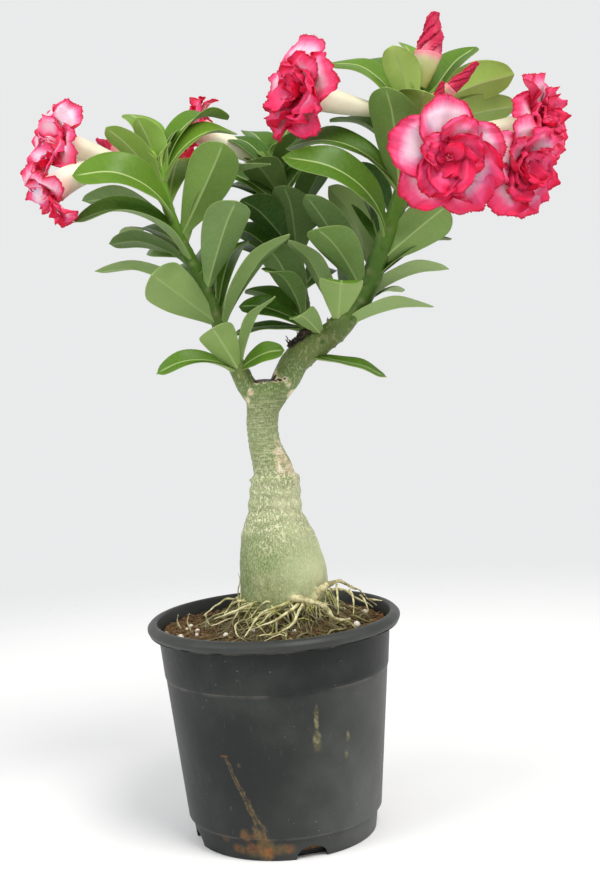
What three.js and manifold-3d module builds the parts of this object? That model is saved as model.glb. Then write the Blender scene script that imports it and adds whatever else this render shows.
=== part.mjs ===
// A potted desert rose (adenium): a nursery pot, its soil, the swollen trunk with its surface roots,
// three leafy shoots, and the double flowers and buds at their tips.
// Millimetres, +Z up. The origin is on the pot's axis, on the surface that the pot stands on.
// The front, where most of the flowers are, is towards -Y.
import * as THREE from "three";
import { mergeVertices } from "three/addons/utils/BufferGeometryUtils.js";
import Module from "manifold-3d";

const wasm = await Module();
wasm.setup();

// Clearance between pieces that touch on the real plant.
const GAP = 0.3;

// Pot: a thin moulded wall that leans out, with an upper ledge, a foot ledge and a rolled rim.
const POT_SIDES = 32;
const RIM_RADIUS = 90;
const RIM_INNER_RADIUS = 82.8;
const RIM_TOP = 157.7;
const RIM_HEIGHT = 8;
const WALL = 2;
const WALL_TOP_RADIUS = 82.6;
const LEDGE_RADIUS = 80;
const LEDGE_Z = 119;
const LEDGE_STEP = 0.7;
const FOOT_LEDGE_RADIUS = 69.5;
const FOOT_LEDGE_Z = 16.5;
const FOOT_RADIUS = 64.7;
const FOOT_LEAN = 2.2;
const RIM_ROLL = 2;
const FLOOR_Z = 2.5;
const FLOOR_THICK = 2.5;
const FOOT_RING_INNER = 50;
const CENTRE_PAD_RADIUS = 14;
const DRAIN_COUNT = 4;
const DRAIN_FIRST_ANGLE = -74;
const DRAIN_WIDTH = 22;
const DRAIN_HEIGHT = 9;
const DRAIN_DEPTH = 16;

// Soil: level near the wall and heaped up round the trunk.
const SOIL_EDGE_Z = 149;
const SOIL_HEAP = 13;
const SOIL_HEAP_INNER = 24;
const SOIL_HEAP_OUTER = 62;
const SOIL_RINGS = [79.6, 68, 54, 40, 24];
const SOIL_FIT = 2.5;
const TRUNK_X = 8;

// Trunk: [height, x of its centre, radius], from the buried tip to the pruned top.
const TRUNK = [
  [100, 8, 5], [118, 8, 14], [135, 8, 24], [150, 8, 28.8], [166, 8, 30.6], [180, 8.5, 31.2],
  [193, 8.2, 30.2], [208, 7, 27.4], [217, 6.2, 25.2], [223, 5.4, 22.6], [229, 5.8, 19.7],
  [240, 6.2, 18.2], [254.5, 7.4, 17.2], [258, 6.6, 14.4], [264, 5.6, 13.8], [272, 3.4, 12.6],
  [282, 0.9, 11.1], [296, 0.7, 11.2], [308, 2.5, 12.6], [318, 5, 14.6], [324, 6.5, 14.2],
];
const TRUNK_SIDES = 16;

// Roots on the soil: where each runs, and its radius at the start and at the tip.
const ROOTS = [
  { points: [[10, -24, 174], [20, -35, 173], [32, -40, 171], [43, -44, 162], [54, -41, 158]],
    radii: [2.7, 2] },
  { points: [[28, -22, 168], [35, -24, 177], [41, -20, 181], [47, -16, 180], [56, -12, 175], [64, -8, 169],
    [75, -6, 158]], radii: [3.2, 1.3] },
  { points: [[46, -17, 179], [46, -26, 170], [45, -34, 161]], radii: [1.2, 0.9] },
  { points: [[55, -12, 174], [57, -20, 168], [56, -26, 159]], radii: [1.2, 0.9] },
  { points: [[62, -9, 169], [65, -14, 166], [67, -18, 159]], radii: [1.1, 0.9] },
  { points: [[68, -7, 165], [74, -2, 163], [78, 3, 162]], radii: [1.1, 0.8] },
  { points: [[16, -26, 171], [6, -38, 171], [-4, -45, 169], [-12, -53, 164], [-19, -64, 156]],
    radii: [1.8, 1.2] },
  { points: [[13, -26, 172], [2, -42, 168], [-9, -53, 162]], radii: [1.5, 1] },
  { points: [[20, -33, 171], [3, -50, 164], [-16, -60, 160]], radii: [1.7, 1] },
  { points: [[22, -36, 171], [13, -52, 160], [2, -60, 157], [-10, -61, 156]], radii: [1.7, 1] },
  { points: [[-14, -14, 170], [-26, -20, 172], [-33, -30, 166]], radii: [1.5, 1] },
  { points: [[-12, -18, 170], [-26, -36, 168], [-40, -36, 164]], radii: [1.6, 1] },
  { points: [[-16, 6, 168], [-34, 8, 168], [-50, -4, 160]], radii: [1.7, 1] },
  { points: [[34, 10, 168], [48, 20, 168], [62, 22, 160], [72, 14, 155]], radii: [2.2, 1.1] },
  { points: [[18, 26, 170], [26, 42, 168], [22, 60, 158]], radii: [2, 1.1] },
  { points: [[-8, 22, 170], [-22, 38, 166], [-34, 52, 156]], radii: [1.9, 1] },
];
const ROOT_LIFT = 1.2;
const ARM_SIDES = 10;
const STEM_SIDES = { left: 6, middle: 6, right: 8 };

// A limb starts inside the trunk as a bare arm and goes on as a green leafy shoot. Its points and radii
// run from the trunk to the tip, and arm is how many stretches of them are bare.
// A leaf's place is a share of the way along the green part.
// A leaf row is [place, tip x, tip y, tip z, width, face, arch]. Face tells how far the upper side turns
// to the front: 1 shows all of it, 0 is edge on, -1 shows the whole underside. Arch bends the midrib up.
const LEFT_SHOOT = {
  points: [[3, 0, 303], [-5, -1, 316], [-11, -2, 327], [-22, -5, 355], [-32, -9, 389], [-45, -13, 420],
    [-54, -17, 447], [-57, -20, 476]],
  radii: [7, 8, 6.6, 5.4, 4.6, 4.2, 3.8, 2.6],
  arm: 2,
  leaves: [
    [0.03, -28, -58, 366, 26, -0.6, 0.15], [0.02, -70, -25, 336, 19, 0.4, 0.33],
    [0.26, -66, -60, 403, 35, -0.75, 0.15], [0.29, -107, -15, 413, 25, -0.3, 0.22],
    [0.5, -98, 5, 430, 23, -0.35, 0.2], [0.53, -94, 50, 436, 27, 0.3, 0.25],
    [0.52, -116, -46, 445, 32, 0.25, 0.4], [0.65, -117, 30, 464, 28, -0.4, 0.2],
    [0.72, -113, -56, 474, 34, 0.55, 0.42], [0.88, -90, -34, 503, 26, -0.6, 0.12],
    [0.89, -69, -26, 509, 25, -0.8, 0.1], [0.94, -80, 22, 518, 27, 0.6, 0.25],
    [0.64, -11, -52, 487, 35, -0.9, 0.2], [0.4, -5, -70, 449, 33, -0.7, 0.12],
    [0.27, -7, 28, 428, 29, 0.65, 0.15], [0.27, -21, 4, 424, 21, 0.35, 0.1],
    [0.24, 26, -38, 427, 27, -0.45, 0.12], [0.06, 12, -28, 386, 19, -0.45, 0.1],
    [0.04, 19, -22, 347, 18, 0.6, 0.2], [0.6, 18, -28, 474, 27, -0.3, 0.35],
    [0.97, -46, -12, 501, 20, 0.6, 0.15], [0.95, -10, 16, 513, 29, 0.5, 0.4],
    [0.91, -3, -8, 499, 31, 0.55, 0.4], [0.55, -70, 70, 430, 29, 0.4, 0.2],
    [0.75, -84, 66, 488, 29, 0.5, 0.3], [0.8, -48, 62, 486, 29, 0.6, 0.3],
    [0.42, -44, 74, 412, 27, 0.5, 0.2],
  ],
};
const RIGHT_SHOOT = {
  points: [[6, 0, 304], [19, 0.5, 324], [28.5, 2, 338], [45, 3, 349], [56, 3, 356], [67, 2, 368], [79, 0, 383],
    [90, -3, 408], [102, -6, 435], [110, -8, 460], [116, -8, 490], [119, -8, 514]],
  radii: [7, 10.2, 9.9, 9.4, 8.8, 8.4, 7.6, 6.8, 6, 5.2, 4.4, 3],
  arm: 2,
  leaves: [
    [0.02, 90, -14, 326, 19, 0.35, 0.02], [0.2, 124, -20, 371, 27, -0.4, 0.15],
    [0.32, 138, 5, 396, 27, -0.2, 0.2], [0.31, 107, 34, 383, 23, 0.35, 0.2],
    [0.44, 142, 12, 418, 29, 0.4, 0.25], [0.52, 136, -40, 437, 35, -0.85, 0.15],
    [0.24, 61, -60, 394, 36, -0.8, 0.25], [0.43, 46, -50, 427, 32, -0.65, 0.2],
    [0.59, 26, -46, 477, 33, 0.65, 0.45], [0.72, 28, 2, 486, 33, 0.5, 0.42],
    [0.77, 61, 22, 505, 27, 0.45, 0.35], [0.65, 75, 32, 470, 27, -0.4, 0.15],
    [0.4, 42, -16, 452, 31, -0.65, 0.1], [0.5, 62, 45, 460, 29, -0.6, 0.15],
    [0.71, 98, -58, 517, 37, -0.75, 0.1], [0.86, 123, -54, 513, 35, -0.85, 0.12],
    [0.88, 64, 4, 546, 31, 0.5, 0.3], [0.9, 86, 30, 550, 29, 0.65, 0.2],
    [0.93, 105, -28, 546, 27, -0.8, 0.08], [0.95, 118, 24, 556, 26, 0.6, 0.15],
    [0.88, 166, 24, 553, 29, 0.6, 0.1], [0.94, 192, 24, 529, 33, -0.75, 0.1],
    [0.87, 196, 44, 509, 27, -0.6, 0.1], [0.14, 28, -42, 372, 19, -0.5, 0.15],
    [0.25, 30, -14, 424, 25, -0.55, 0.12], [0.3, 74, 74, 400, 29, 0.5, 0.2],
    [0.45, 128, 66, 420, 29, 0.5, 0.25], [0.56, 84, 76, 455, 29, 0.6, 0.2],
    [0.66, 158, 50, 452, 29, 0.4, 0.25], [0.78, 120, 74, 496, 29, 0.6, 0.2],
  ],
};
const MIDDLE_SHOOT = {
  points: [[36, 11, 354.5], [35, 17, 366], [33, 30, 393], [31, 42, 429], [23, 50, 459], [17, 52, 477]],
  radii: [5.6, 5.2, 4.8, 4.2, 3.6, 2.6],
  arm: 0,
  leaves: [
    [0.08, -11, 6, 379, 23, 0.6, 0.2], [0.06, -17, 12, 358, 19, 0.4, 0.15],
    [0.15, -6, 32, 390, 25, 0.55, 0.15], [0.2, 11, -28, 405, 23, -0.45, 0.2],
    [0.5, -4, 18, 455, 33, -0.75, 0.12], [0.47, 28, 10, 462, 33, -0.85, 0.12],
    [0.24, 12, 10, 421, 31, -0.85, 0.1], [0.62, -26, 46, 478, 29, 0.6, 0.25],
    [0.7, -24, 78, 466, 29, 0.5, 0.25], [0.75, 64, 62, 488, 29, 0.6, 0.25],
    [0.85, 42, 26, 500, 27, -0.6, 0.15], [0.9, 2, 92, 508, 27, 0.6, 0.2],
    [0.55, 74, 74, 440, 29, 0.4, 0.25], [0.66, 32, 104, 452, 29, 0.4, 0.25],
    [0.4, -14, 84, 424, 29, 0.5, 0.25], [0.35, 50, 92, 404, 27, 0.5, 0.25],
    [0.95, 50, 78, 522, 26, 0.6, 0.2], [0.6, 58, 30, 478, 29, -0.7, 0.1],
    [0.72, 4, 20, 482, 29, -0.75, 0.12], [0.36, -20, 56, 440, 29, 0.6, 0.2],
    [0.8, -12, 60, 504, 27, 0.6, 0.25],
  ],
};
const MIDDLE_BOSS_LENGTH = 13;
const LEAF_STATIONS = [0, 0.24, 0.5, 0.72, 0.9, 1];
const LEAF_BROADEST = 0.65;
const LEAF_TIP_ROUND = 0.55;
const LEAF_THICK = 1.4;
const PETIOLE_THICK = 2.8;
const PETIOLE_HALF_WIDTH = 1.8;
const LEAF_FOLD_ANGLE = 25;

// The dried remains of an old flower stalk, on the upper left of the right arm:
// [place along the right shoot, angle round it in degrees, radius].
const DRIED_STALK = [[0, 150, 1.6], [0.02, 135, 2.6], [0.045, 118, 2], [0.07, 106, 3], [0.095, 92, 2.2]];
const DRIED_STALK_LEAN = -0.5;

// Flowers: the mouth of the tube, where it faces, the radius over the petals, its stalk's place on the shoot,
// how far it is turned about its own axis, and the petals in each ring.
const BLOOMS = [
  { name: "bloom_1", shoot: "right", mouth: [133, -60, 466], facing: [0.14, -1, -0.1], radius: 41,
    place: 0.93, turn: 20, petals: [5, 4, 3] },
  { name: "bloom_2", shoot: "right", mouth: [183, -31, 459], facing: [0.62, -0.75, -0.18], radius: 37,
    place: 0.91, turn: 50, petals: [5, 4, 3] },
  { name: "bloom_3", shoot: "right", mouth: [203, 2, 491], facing: [0.78, -0.55, 0.2], radius: 35,
    place: 0.915, turn: 10, petals: [5, 4, 3] },
  { name: "bloom_4", shoot: "right", mouth: [44, -26, 517], facing: [-0.78, -0.55, 0.22], radius: 39,
    place: 0.93, turn: 31, petals: [5, 4, 3] },
  { name: "bloom_5", shoot: "left", mouth: [-124, -15, 494.5], facing: [-0.72, -0.6, 0.3], radius: 31,
    place: 0.96, turn: 0, petals: [5, 3, 0] },
  { name: "bloom_6", shoot: "left", mouth: [-128, -39, 462], facing: [-0.72, -0.34, -0.6], radius: 27,
    place: 0.93, turn: 30, petals: [5, 3, 0] },
  { name: "bloom_7", shoot: "middle", mouth: [-32, 62, 505], facing: [-0.75, 0.1, 0.4], radius: 28,
    place: 0.97, turn: 15, petals: [5, 3, 0] },
];
const STALK_SHARE = 0.24;
const STALK_RADII = [2, 2.1, 3.4, 4];
const STALK_SIDES = 6;
const TUBE_RADII = [4, 5.8, 7.6, 8.9, 9.6];
const TUBE_SIDES = 8;
const THROAT_RADIUS = 8.6;
const PETAL_THICK = 1.2;
const WAVES = 4.1;
const PETAL_ROUND = 0.36;
const PETAL_BROADEST = 0.66;

// Buds: the place on the shoot where the stalk starts, the neck where the colour starts, and the tip.
const BUDS = [
  { name: "bud_1", shoot: "right", place: 0.99, neck: [130, -8, 541], tip: [137, -6, 569], radius: 9.5 },
  { name: "bud_2", shoot: "right", place: 0.93, neck: [133, -21, 508], tip: [138, -24, 520], radius: 4 },
  { name: "bud_3", shoot: "right", place: 0.99, neck: [144, -15, 516], tip: [163, -18, 532], radius: 5 },
  { name: "bud_4", shoot: "left", place: 0.9, neck: [-92, 20, 493], tip: [-105, 27, 501], radius: 4 },
];
const BUD_STALK_RADII = [1.8, 1.8, 2.6, 3];
const BUD_TUBE_SHARES = [0.55, 0.78, 1];
const BUD_GIRTH = [0.97, 1, 0.88, 0.72, 0.58, 0.34];
const BUD_SIDES = 10;
const BUD_FURROW = 0.78;
const BUD_TWIST = 0.35;

const V = (x, y, z) => new THREE.Vector3(x, y, z);
const vec = (p) => V(p[0], p[1], p[2]);
const FRONT = V(0, -1, 0);
const UP = V(0, 0, 1);

// The value a share of the way along a list of values.
function along(values, share) {
  const x = Math.min(Math.max(share, 0), 1) * (values.length - 1);
  const i = Math.min(Math.floor(x), values.length - 2);
  return values[i] + (values[i + 1] - values[i]) * (x - i);
}

// 0 below a, 1 above b, and smooth between them.
function smooth(x, a, b) {
  const t = Math.min(Math.max((x - a) / (b - a), 0), 1);
  return t * t * (3 - 2 * t);
}

const curve = (points) => new THREE.CatmullRomCurve3(points.map(vec), false, "catmullrom", 0.5);

// A closed solid from lists of points and triangles.
function solidOf(points, faces) {
  const build = (list) => new wasm.Manifold(new wasm.Mesh({
    numProp: 3,
    vertProperties: new Float32Array(points.flatMap((p) => [p.x, p.y, p.z])),
    triVerts: new Uint32Array(list.flat()),
  }));
  const made = build(faces);
  return made.volume() < 0 ? build(faces.map(([a, b, c]) => [a, c, b])) : made;
}

// The closed skin over a row of rings. A ring of one point closes an end; other ends get a flat cap.
function skin(rings) {
  const points = [];
  const faces = [];
  const starts = rings.map((ring) => points.push(...ring) - ring.length);
  const sides = Math.max(...rings.map((ring) => ring.length));
  const at = (k, i) => starts[k] + (rings[k].length === 1 ? 0 : i % sides);
  for (let k = 0; k + 1 < rings.length; k++) {
    for (let i = 0; i < sides; i++) {
      if (rings[k].length > 1) faces.push([at(k, i), at(k, i + 1), at(k + 1, i + 1)]);
      if (rings[k + 1].length > 1) faces.push([at(k, i), at(k + 1, i + 1), at(k + 1, i)]);
    }
  }
  const last = rings.length - 1;
  for (let i = 1; i + 1 < sides; i++) {
    if (rings[0].length > 1) faces.push([at(0, 0), at(0, i + 1), at(0, i)]);
    if (rings[last].length > 1) faces.push([at(last, 0), at(last, i), at(last, i + 1)]);
  }
  return solidOf(points, faces);
}

// A ring of points round a centre, in the plane across a direction.
function ringAcross(centre, direction, radius, sides, reference) {
  const t = direction.clone().normalize();
  const a = reference.clone().addScaledVector(t, -reference.dot(t)).normalize();
  const b = t.clone().cross(a);
  return Array.from({ length: sides }, (_, i) => {
    const turn = (2 * Math.PI * i) / sides;
    const [x, y] = [radius * Math.cos(turn), radius * Math.sin(turn)];
    return centre.clone().addScaledVector(a, x).addScaledVector(b, y);
  });
}

// A tube along a stretch of a curve, with its radius read from a list.
function tube(path, radii, sides, steps, reference, from = 0, to = 1) {
  const rings = Array.from({ length: steps + 1 }, (_, i) => {
    const share = i / steps;
    const s = from + (to - from) * share;
    return ringAcross(path.getPoint(s), path.getTangent(s), along(radii, share), sides, reference);
  });
  return skin(rings);
}

// A body turned about an upright axis from [radius, height] pairs.
function turned(profile, sides) {
  return skin(profile.map(([radius, z]) =>
    radius === 0
      ? [V(0, 0, z)]
      : Array.from({ length: sides }, (_, i) => {
          const turn = (2 * Math.PI * i) / sides;
          return V(radius * Math.cos(turn), radius * Math.sin(turn), z);
        })));
}

// The largest body of a solid, with any hollow that the joining sealed filled in.
function largestBody(solid) {
  const bodies = solid.decompose();
  return bodies.reduce((best, body) => (body.volume() > best.volume() ? body : best));
}

const join = (solids) => largestBody(solids.reduce((all, one) => all.add(one)));

// The outer radius of the pot's wall at a height.
function wallRadius(z) {
  if (z <= FOOT_LEDGE_Z) return along([FOOT_RADIUS, FOOT_RADIUS + FOOT_LEAN], z / FOOT_LEDGE_Z);
  const between = [FOOT_LEDGE_RADIUS, LEDGE_RADIUS - LEDGE_STEP];
  if (z <= LEDGE_Z) return along(between, (z - FOOT_LEDGE_Z) / (LEDGE_Z - FOOT_LEDGE_Z));
  return along([LEDGE_RADIUS, WALL_TOP_RADIUS], (z - LEDGE_Z) / (RIM_TOP - RIM_HEIGHT - LEDGE_Z));
}

// One arched drain opening through the foot of the wall.
function drainHole(angle) {
  const outline = new THREE.Shape();
  const half = DRAIN_WIDTH / 2;
  outline.moveTo(-half, -1);
  outline.lineTo(half, -1);
  outline.quadraticCurveTo(half * 0.75, DRAIN_HEIGHT, 0, DRAIN_HEIGHT);
  outline.quadraticCurveTo(-half * 0.75, DRAIN_HEIGHT, -half, -1);
  const deep = { depth: DRAIN_DEPTH, bevelEnabled: false, curveSegments: 3 };
  const cut = new THREE.ExtrudeGeometry(outline, deep);
  cut.rotateX(Math.PI / 2);
  cut.translate(0, FOOT_RADIUS - DRAIN_DEPTH / 2 + DRAIN_DEPTH, 0);
  cut.rotateZ(THREE.MathUtils.degToRad(angle - 90));
  return fromGeometry(cut);
}

// A three.js geometry as a closed solid.
function fromGeometry(geometry) {
  const bare = geometry.clone();
  bare.deleteAttribute("normal");
  bare.deleteAttribute("uv");
  const merged = mergeVertices(bare, 1e-4);
  const place = merged.getAttribute("position");
  const point = (_, i) => V(place.getX(i), place.getY(i), place.getZ(i));
  const points = Array.from({ length: place.count }, point);
  const order = Array.from(merged.index.array);
  const faces = Array.from({ length: order.length / 3 }, (_, i) => order.slice(3 * i, 3 * i + 3));
  return solidOf(points, faces);
}

function makePot() {
  const lipBottom = RIM_TOP - RIM_HEIGHT;
  const floorTop = FLOOR_Z + FLOOR_THICK;
  const shell = turned([
    [0, 0], [CENTRE_PAD_RADIUS, 0], [CENTRE_PAD_RADIUS + 1, FLOOR_Z], [FOOT_RING_INNER, FLOOR_Z],
    [FOOT_RING_INNER + 1, 0], [FOOT_RADIUS, 0], [FOOT_RADIUS + FOOT_LEAN, FOOT_LEDGE_Z],
    [FOOT_LEDGE_RADIUS, FOOT_LEDGE_Z + 1], [LEDGE_RADIUS - LEDGE_STEP, LEDGE_Z],
    [LEDGE_RADIUS, LEDGE_Z + LEDGE_STEP], [WALL_TOP_RADIUS, lipBottom], [RIM_RADIUS - 1, lipBottom - 0.5],
    [RIM_RADIUS, lipBottom + RIM_ROLL], [RIM_RADIUS - RIM_ROLL, RIM_TOP],
    [RIM_INNER_RADIUS + 1, RIM_TOP], [RIM_INNER_RADIUS, RIM_TOP - RIM_ROLL],
    [WALL_TOP_RADIUS - WALL, lipBottom], [wallRadius(FOOT_LEDGE_Z + 2) - WALL, FOOT_LEDGE_Z + 2],
    [FOOT_RADIUS - WALL, FOOT_LEDGE_Z], [FOOT_RADIUS - WALL - 1, floorTop], [0, floorTop],
  ], POT_SIDES);
  const angle = (_, i) => DRAIN_FIRST_ANGLE + (i * 360) / DRAIN_COUNT;
  const holes = Array.from({ length: DRAIN_COUNT }, angle).map(drainHole);
  return holes.reduce((pot, hole) => pot.subtract(hole), shell);
}

// The height of the soil over a point.
function soilHeight(x, y) {
  const fromTrunk = Math.hypot(x - TRUNK_X, y);
  const heap = SOIL_HEAP * (1 - smooth(fromTrunk, SOIL_HEAP_INNER, SOIL_HEAP_OUTER));
  const lumps = 0.7 * Math.sin(0.21 * x + 1.3) * Math.cos(0.19 * y + 0.4);
  return SOIL_EDGE_Z + heap + lumps + 0.5 * Math.sin(0.33 * y - 0.12 * x);
}

function makeSoil() {
  const floor = FLOOR_Z + FLOOR_THICK + GAP;
  const across = (radius, height) => Array.from({ length: POT_SIDES }, (_, i) => {
    const turn = (2 * Math.PI * i) / POT_SIDES;
    const x = radius * Math.cos(turn);
    const y = radius * Math.sin(turn);
    return V(x, y, height === undefined ? soilHeight(x, y) : height);
  });
  const body = skin([
    [V(0, 0, floor)], across(FOOT_RADIUS - SOIL_FIT - 1, floor),
    across(FOOT_RADIUS - SOIL_FIT, FOOT_LEDGE_Z),
    across(wallRadius(FOOT_LEDGE_Z + 2) - SOIL_FIT, FOOT_LEDGE_Z + 2),
    ...SOIL_RINGS.map((radius) => across(radius)), [V(0, 0, soilHeight(0, 0))],
  ]);
  return body.subtract(makeTrunk(GAP + 0.1));
}

// The trunk, swollen below and pinched below the fork, a little grown when it is used to cut its hole.
function makeTrunk(grow) {
  const rings = TRUNK.map(([z, x, radius]) =>
    Array.from({ length: TRUNK_SIDES }, (_, i) => {
      const turn = (2 * Math.PI * i) / TRUNK_SIDES;
      const uneven = 1 + 0.02 * Math.sin(3 * turn + z / 25) + 0.012 * Math.sin(5 * turn - z / 14);
      const r = radius * uneven + grow;
      return V(x + r * Math.cos(turn), r * Math.sin(turn), z);
    }));
  return skin(rings);
}

const SHOOTS = { left: LEFT_SHOOT, middle: MIDDLE_SHOOT, right: RIGHT_SHOOT };

// Where a limb turns from a bare arm to a green shoot, as a share of its whole length.
const armShare = (name) => SHOOTS[name].arm / (SHOOTS[name].points.length - 1);

// A place on the green part as a share of the whole limb.
const greenShare = (name, place) => armShare(name) + place * (1 - armShare(name));

// The bare arm of a limb, which starts inside the trunk.
function makeArm(name) {
  const { points, radii, arm } = SHOOTS[name];
  return tube(curve(points), radii.slice(0, arm + 1), ARM_SIDES, 2 * arm, FRONT, 0, armShare(name));
}

// A root, kept just clear of the soil that it lies on.
function makeRoot({ points, radii }) {
  const [start, end] = radii;
  const resting = points.map(([x, y, z], i) => {
    const r = along([start, end], i / (points.length - 1));
    return [x, y, Math.max(z, soilHeight(x, y) + r + ROOT_LIFT)];
  });
  const sides = start > 2 ? 6 : 4;
  const steps = start > 2 ? 2 * points.length - 3 : points.length;
  return tube(curve(resting), [start, along([start, end], 0.5), end, end * 0.55], sides, steps, UP);
}

function makeCaudex() {
  return join([makeTrunk(0), makeArm("left"), makeArm("right"), ...ROOTS.map(makeRoot)]);
}

// The direction of a leaf's upper side: turned to the front as far as its face says, and otherwise
// towards the tip of the stem.
function upperSide(direction, growth, face) {
  const toFront = FRONT.clone().addScaledVector(direction, -FRONT.dot(direction));
  const reach = toFront.length();
  toFront.normalize();
  const aside = direction.clone().cross(toFront);
  const share = THREE.MathUtils.clamp(face / reach, -1, 1);
  const rest = Math.sqrt(1 - share * share) * Math.sign(aside.dot(growth) || 1);
  return toFront.multiplyScalar(share).addScaledVector(aside, rest);
}

// Half of a leaf's width along it, as a share of its most: a wedge that widens from the foot, and a round tip.
function leafHalfWidth(s) {
  const rise = Math.sin((Math.PI / 2) * Math.min(s / LEAF_BROADEST, 1));
  const fall = Math.max((s - LEAF_BROADEST) / (1 - LEAF_BROADEST), 0);
  return rise * Math.pow(1 - fall * fall, LEAF_TIP_ROUND);
}

// One leaf: a thin folded blade on a short stalk that starts in the middle of the stem.
function makeLeaf(base, growth, [, x, y, z, width, face, arch]) {
  const tip = V(x, y, z);
  const chord = tip.clone().sub(base);
  const direction = chord.clone().normalize();
  const upper = upperSide(direction, growth, face);
  const bend = base.clone().add(tip).multiplyScalar(0.5).addScaledVector(upper, arch * chord.length());
  const midrib = new THREE.QuadraticBezierCurve3(base, bend, tip);
  const fold = THREE.MathUtils.degToRad(LEAF_FOLD_ANGLE);
  const rings = LEAF_STATIONS.map((s) => {
    const middle = midrib.getPoint(s);
    if (s === 1) return [middle];
    const forward = midrib.getTangent(s);
    const up = upper.clone().addScaledVector(forward, -upper.dot(forward)).normalize();
    const across = forward.clone().cross(up);
    const half = Math.max(PETIOLE_HALF_WIDTH, (width / 2) * leafHalfWidth(s));
    const thick = along([PETIOLE_THICK, LEAF_THICK, LEAF_THICK, LEAF_THICK, LEAF_THICK], s) / 2;
    const lift = (half - PETIOLE_HALF_WIDTH) * Math.sin(fold);
    const wide = PETIOLE_HALF_WIDTH + (half - PETIOLE_HALF_WIDTH) * Math.cos(fold);
    return [
      middle.clone().addScaledVector(across, wide).addScaledVector(up, lift),
      middle.clone().addScaledVector(up, thick),
      middle.clone().addScaledVector(across, -wide).addScaledVector(up, lift),
      middle.clone().addScaledVector(up, -thick),
    ];
  });
  return skin(rings);
}

// The path of a flower or bud from its place on the shoot to its mouth.
function flowerPath({ shoot, place, mouth, facing }) {
  const start = curve(SHOOTS[shoot].points).getPoint(greenShare(shoot, place));
  const end = vec(mouth);
  const bend = end.clone().addScaledVector(vec(facing).normalize(), -0.5 * start.distanceTo(end));
  return new THREE.QuadraticBezierCurve3(start, bend, end);
}

function budPath({ shoot, place, neck, tip }) {
  const end = vec(neck);
  const facing = vec(tip).sub(end).normalize();
  return flowerPath({ shoot, place, mouth: neck, facing: facing.toArray() });
}

// The green stalk below a flower, which widens into its cup of sepals.
const makeStalk = (path, radii) => tube(path, radii, STALK_SIDES, radii.length - 1, UP, 0, STALK_SHARE);

// The short swelling on the right shoot that carries the middle shoot.
function makeBoss() {
  const path = curve(MIDDLE_SHOOT.points);
  const [foot, growth] = [path.getPoint(0), path.getTangent(0)];
  const radius = MIDDLE_SHOOT.radii[0];
  const ends = [MIDDLE_BOSS_LENGTH, GAP].map((back) => foot.clone().addScaledVector(growth, -back));
  return tube(new THREE.LineCurve3(...ends), [radius, radius], STEM_SIDES.middle, 1, FRONT);
}

function makeShoot(name) {
  const { points, radii, arm, leaves } = SHOOTS[name];
  const path = curve(points);
  const from = armShare(name) + GAP / path.getLength();
  const stem = tube(path, radii.slice(arm), STEM_SIDES[name], points.length - arm - 1, FRONT, from, 1);
  const blades = leaves.map((row) => {
    const share = greenShare(name, row[0]);
    return makeLeaf(path.getPoint(share), path.getTangent(share), row);
  });
  const here = ({ shoot }) => shoot === name;
  const stalks = [
    ...BLOOMS.filter(here).map((bloom) => makeStalk(flowerPath(bloom), STALK_RADII)),
    ...BUDS.filter(here).map((bud) => makeStalk(budPath(bud), BUD_STALK_RADII)),
  ];
  return join([stem, ...(name === "right" ? [makeBoss()] : []), ...blades, ...stalks]);
}

function makeDriedStalk() {
  const path = curve(RIGHT_SHOOT.points);
  const places = DRIED_STALK.map(([place, angle, radius]) => {
    const share = greenShare("right", place);
    const centre = path.getPoint(share);
    const t = path.getTangent(share);
    const turn = THREE.MathUtils.degToRad(angle);
    const out = V(Math.cos(turn), DRIED_STALK_LEAN, Math.sin(turn));
    out.addScaledVector(t, -out.dot(t)).normalize();
    return centre.addScaledVector(out, along(RIGHT_SHOOT.radii, share) + radius + GAP);
  });
  const spine = new THREE.CatmullRomCurve3(places);
  return tube(spine, DRIED_STALK.map((row) => row[2]), 6, 8, FRONT);
}

// Half of a petal's width along it, as a share of its most.
function petalHalfWidth(s) {
  const rise = Math.pow(Math.sin((Math.PI / 2) * Math.min(s / PETAL_BROADEST, 1)), 1.1);
  return (0.3 + 0.7 * rise) * (1 - 0.1 * smooth(s, 0.8, 1));
}

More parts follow.
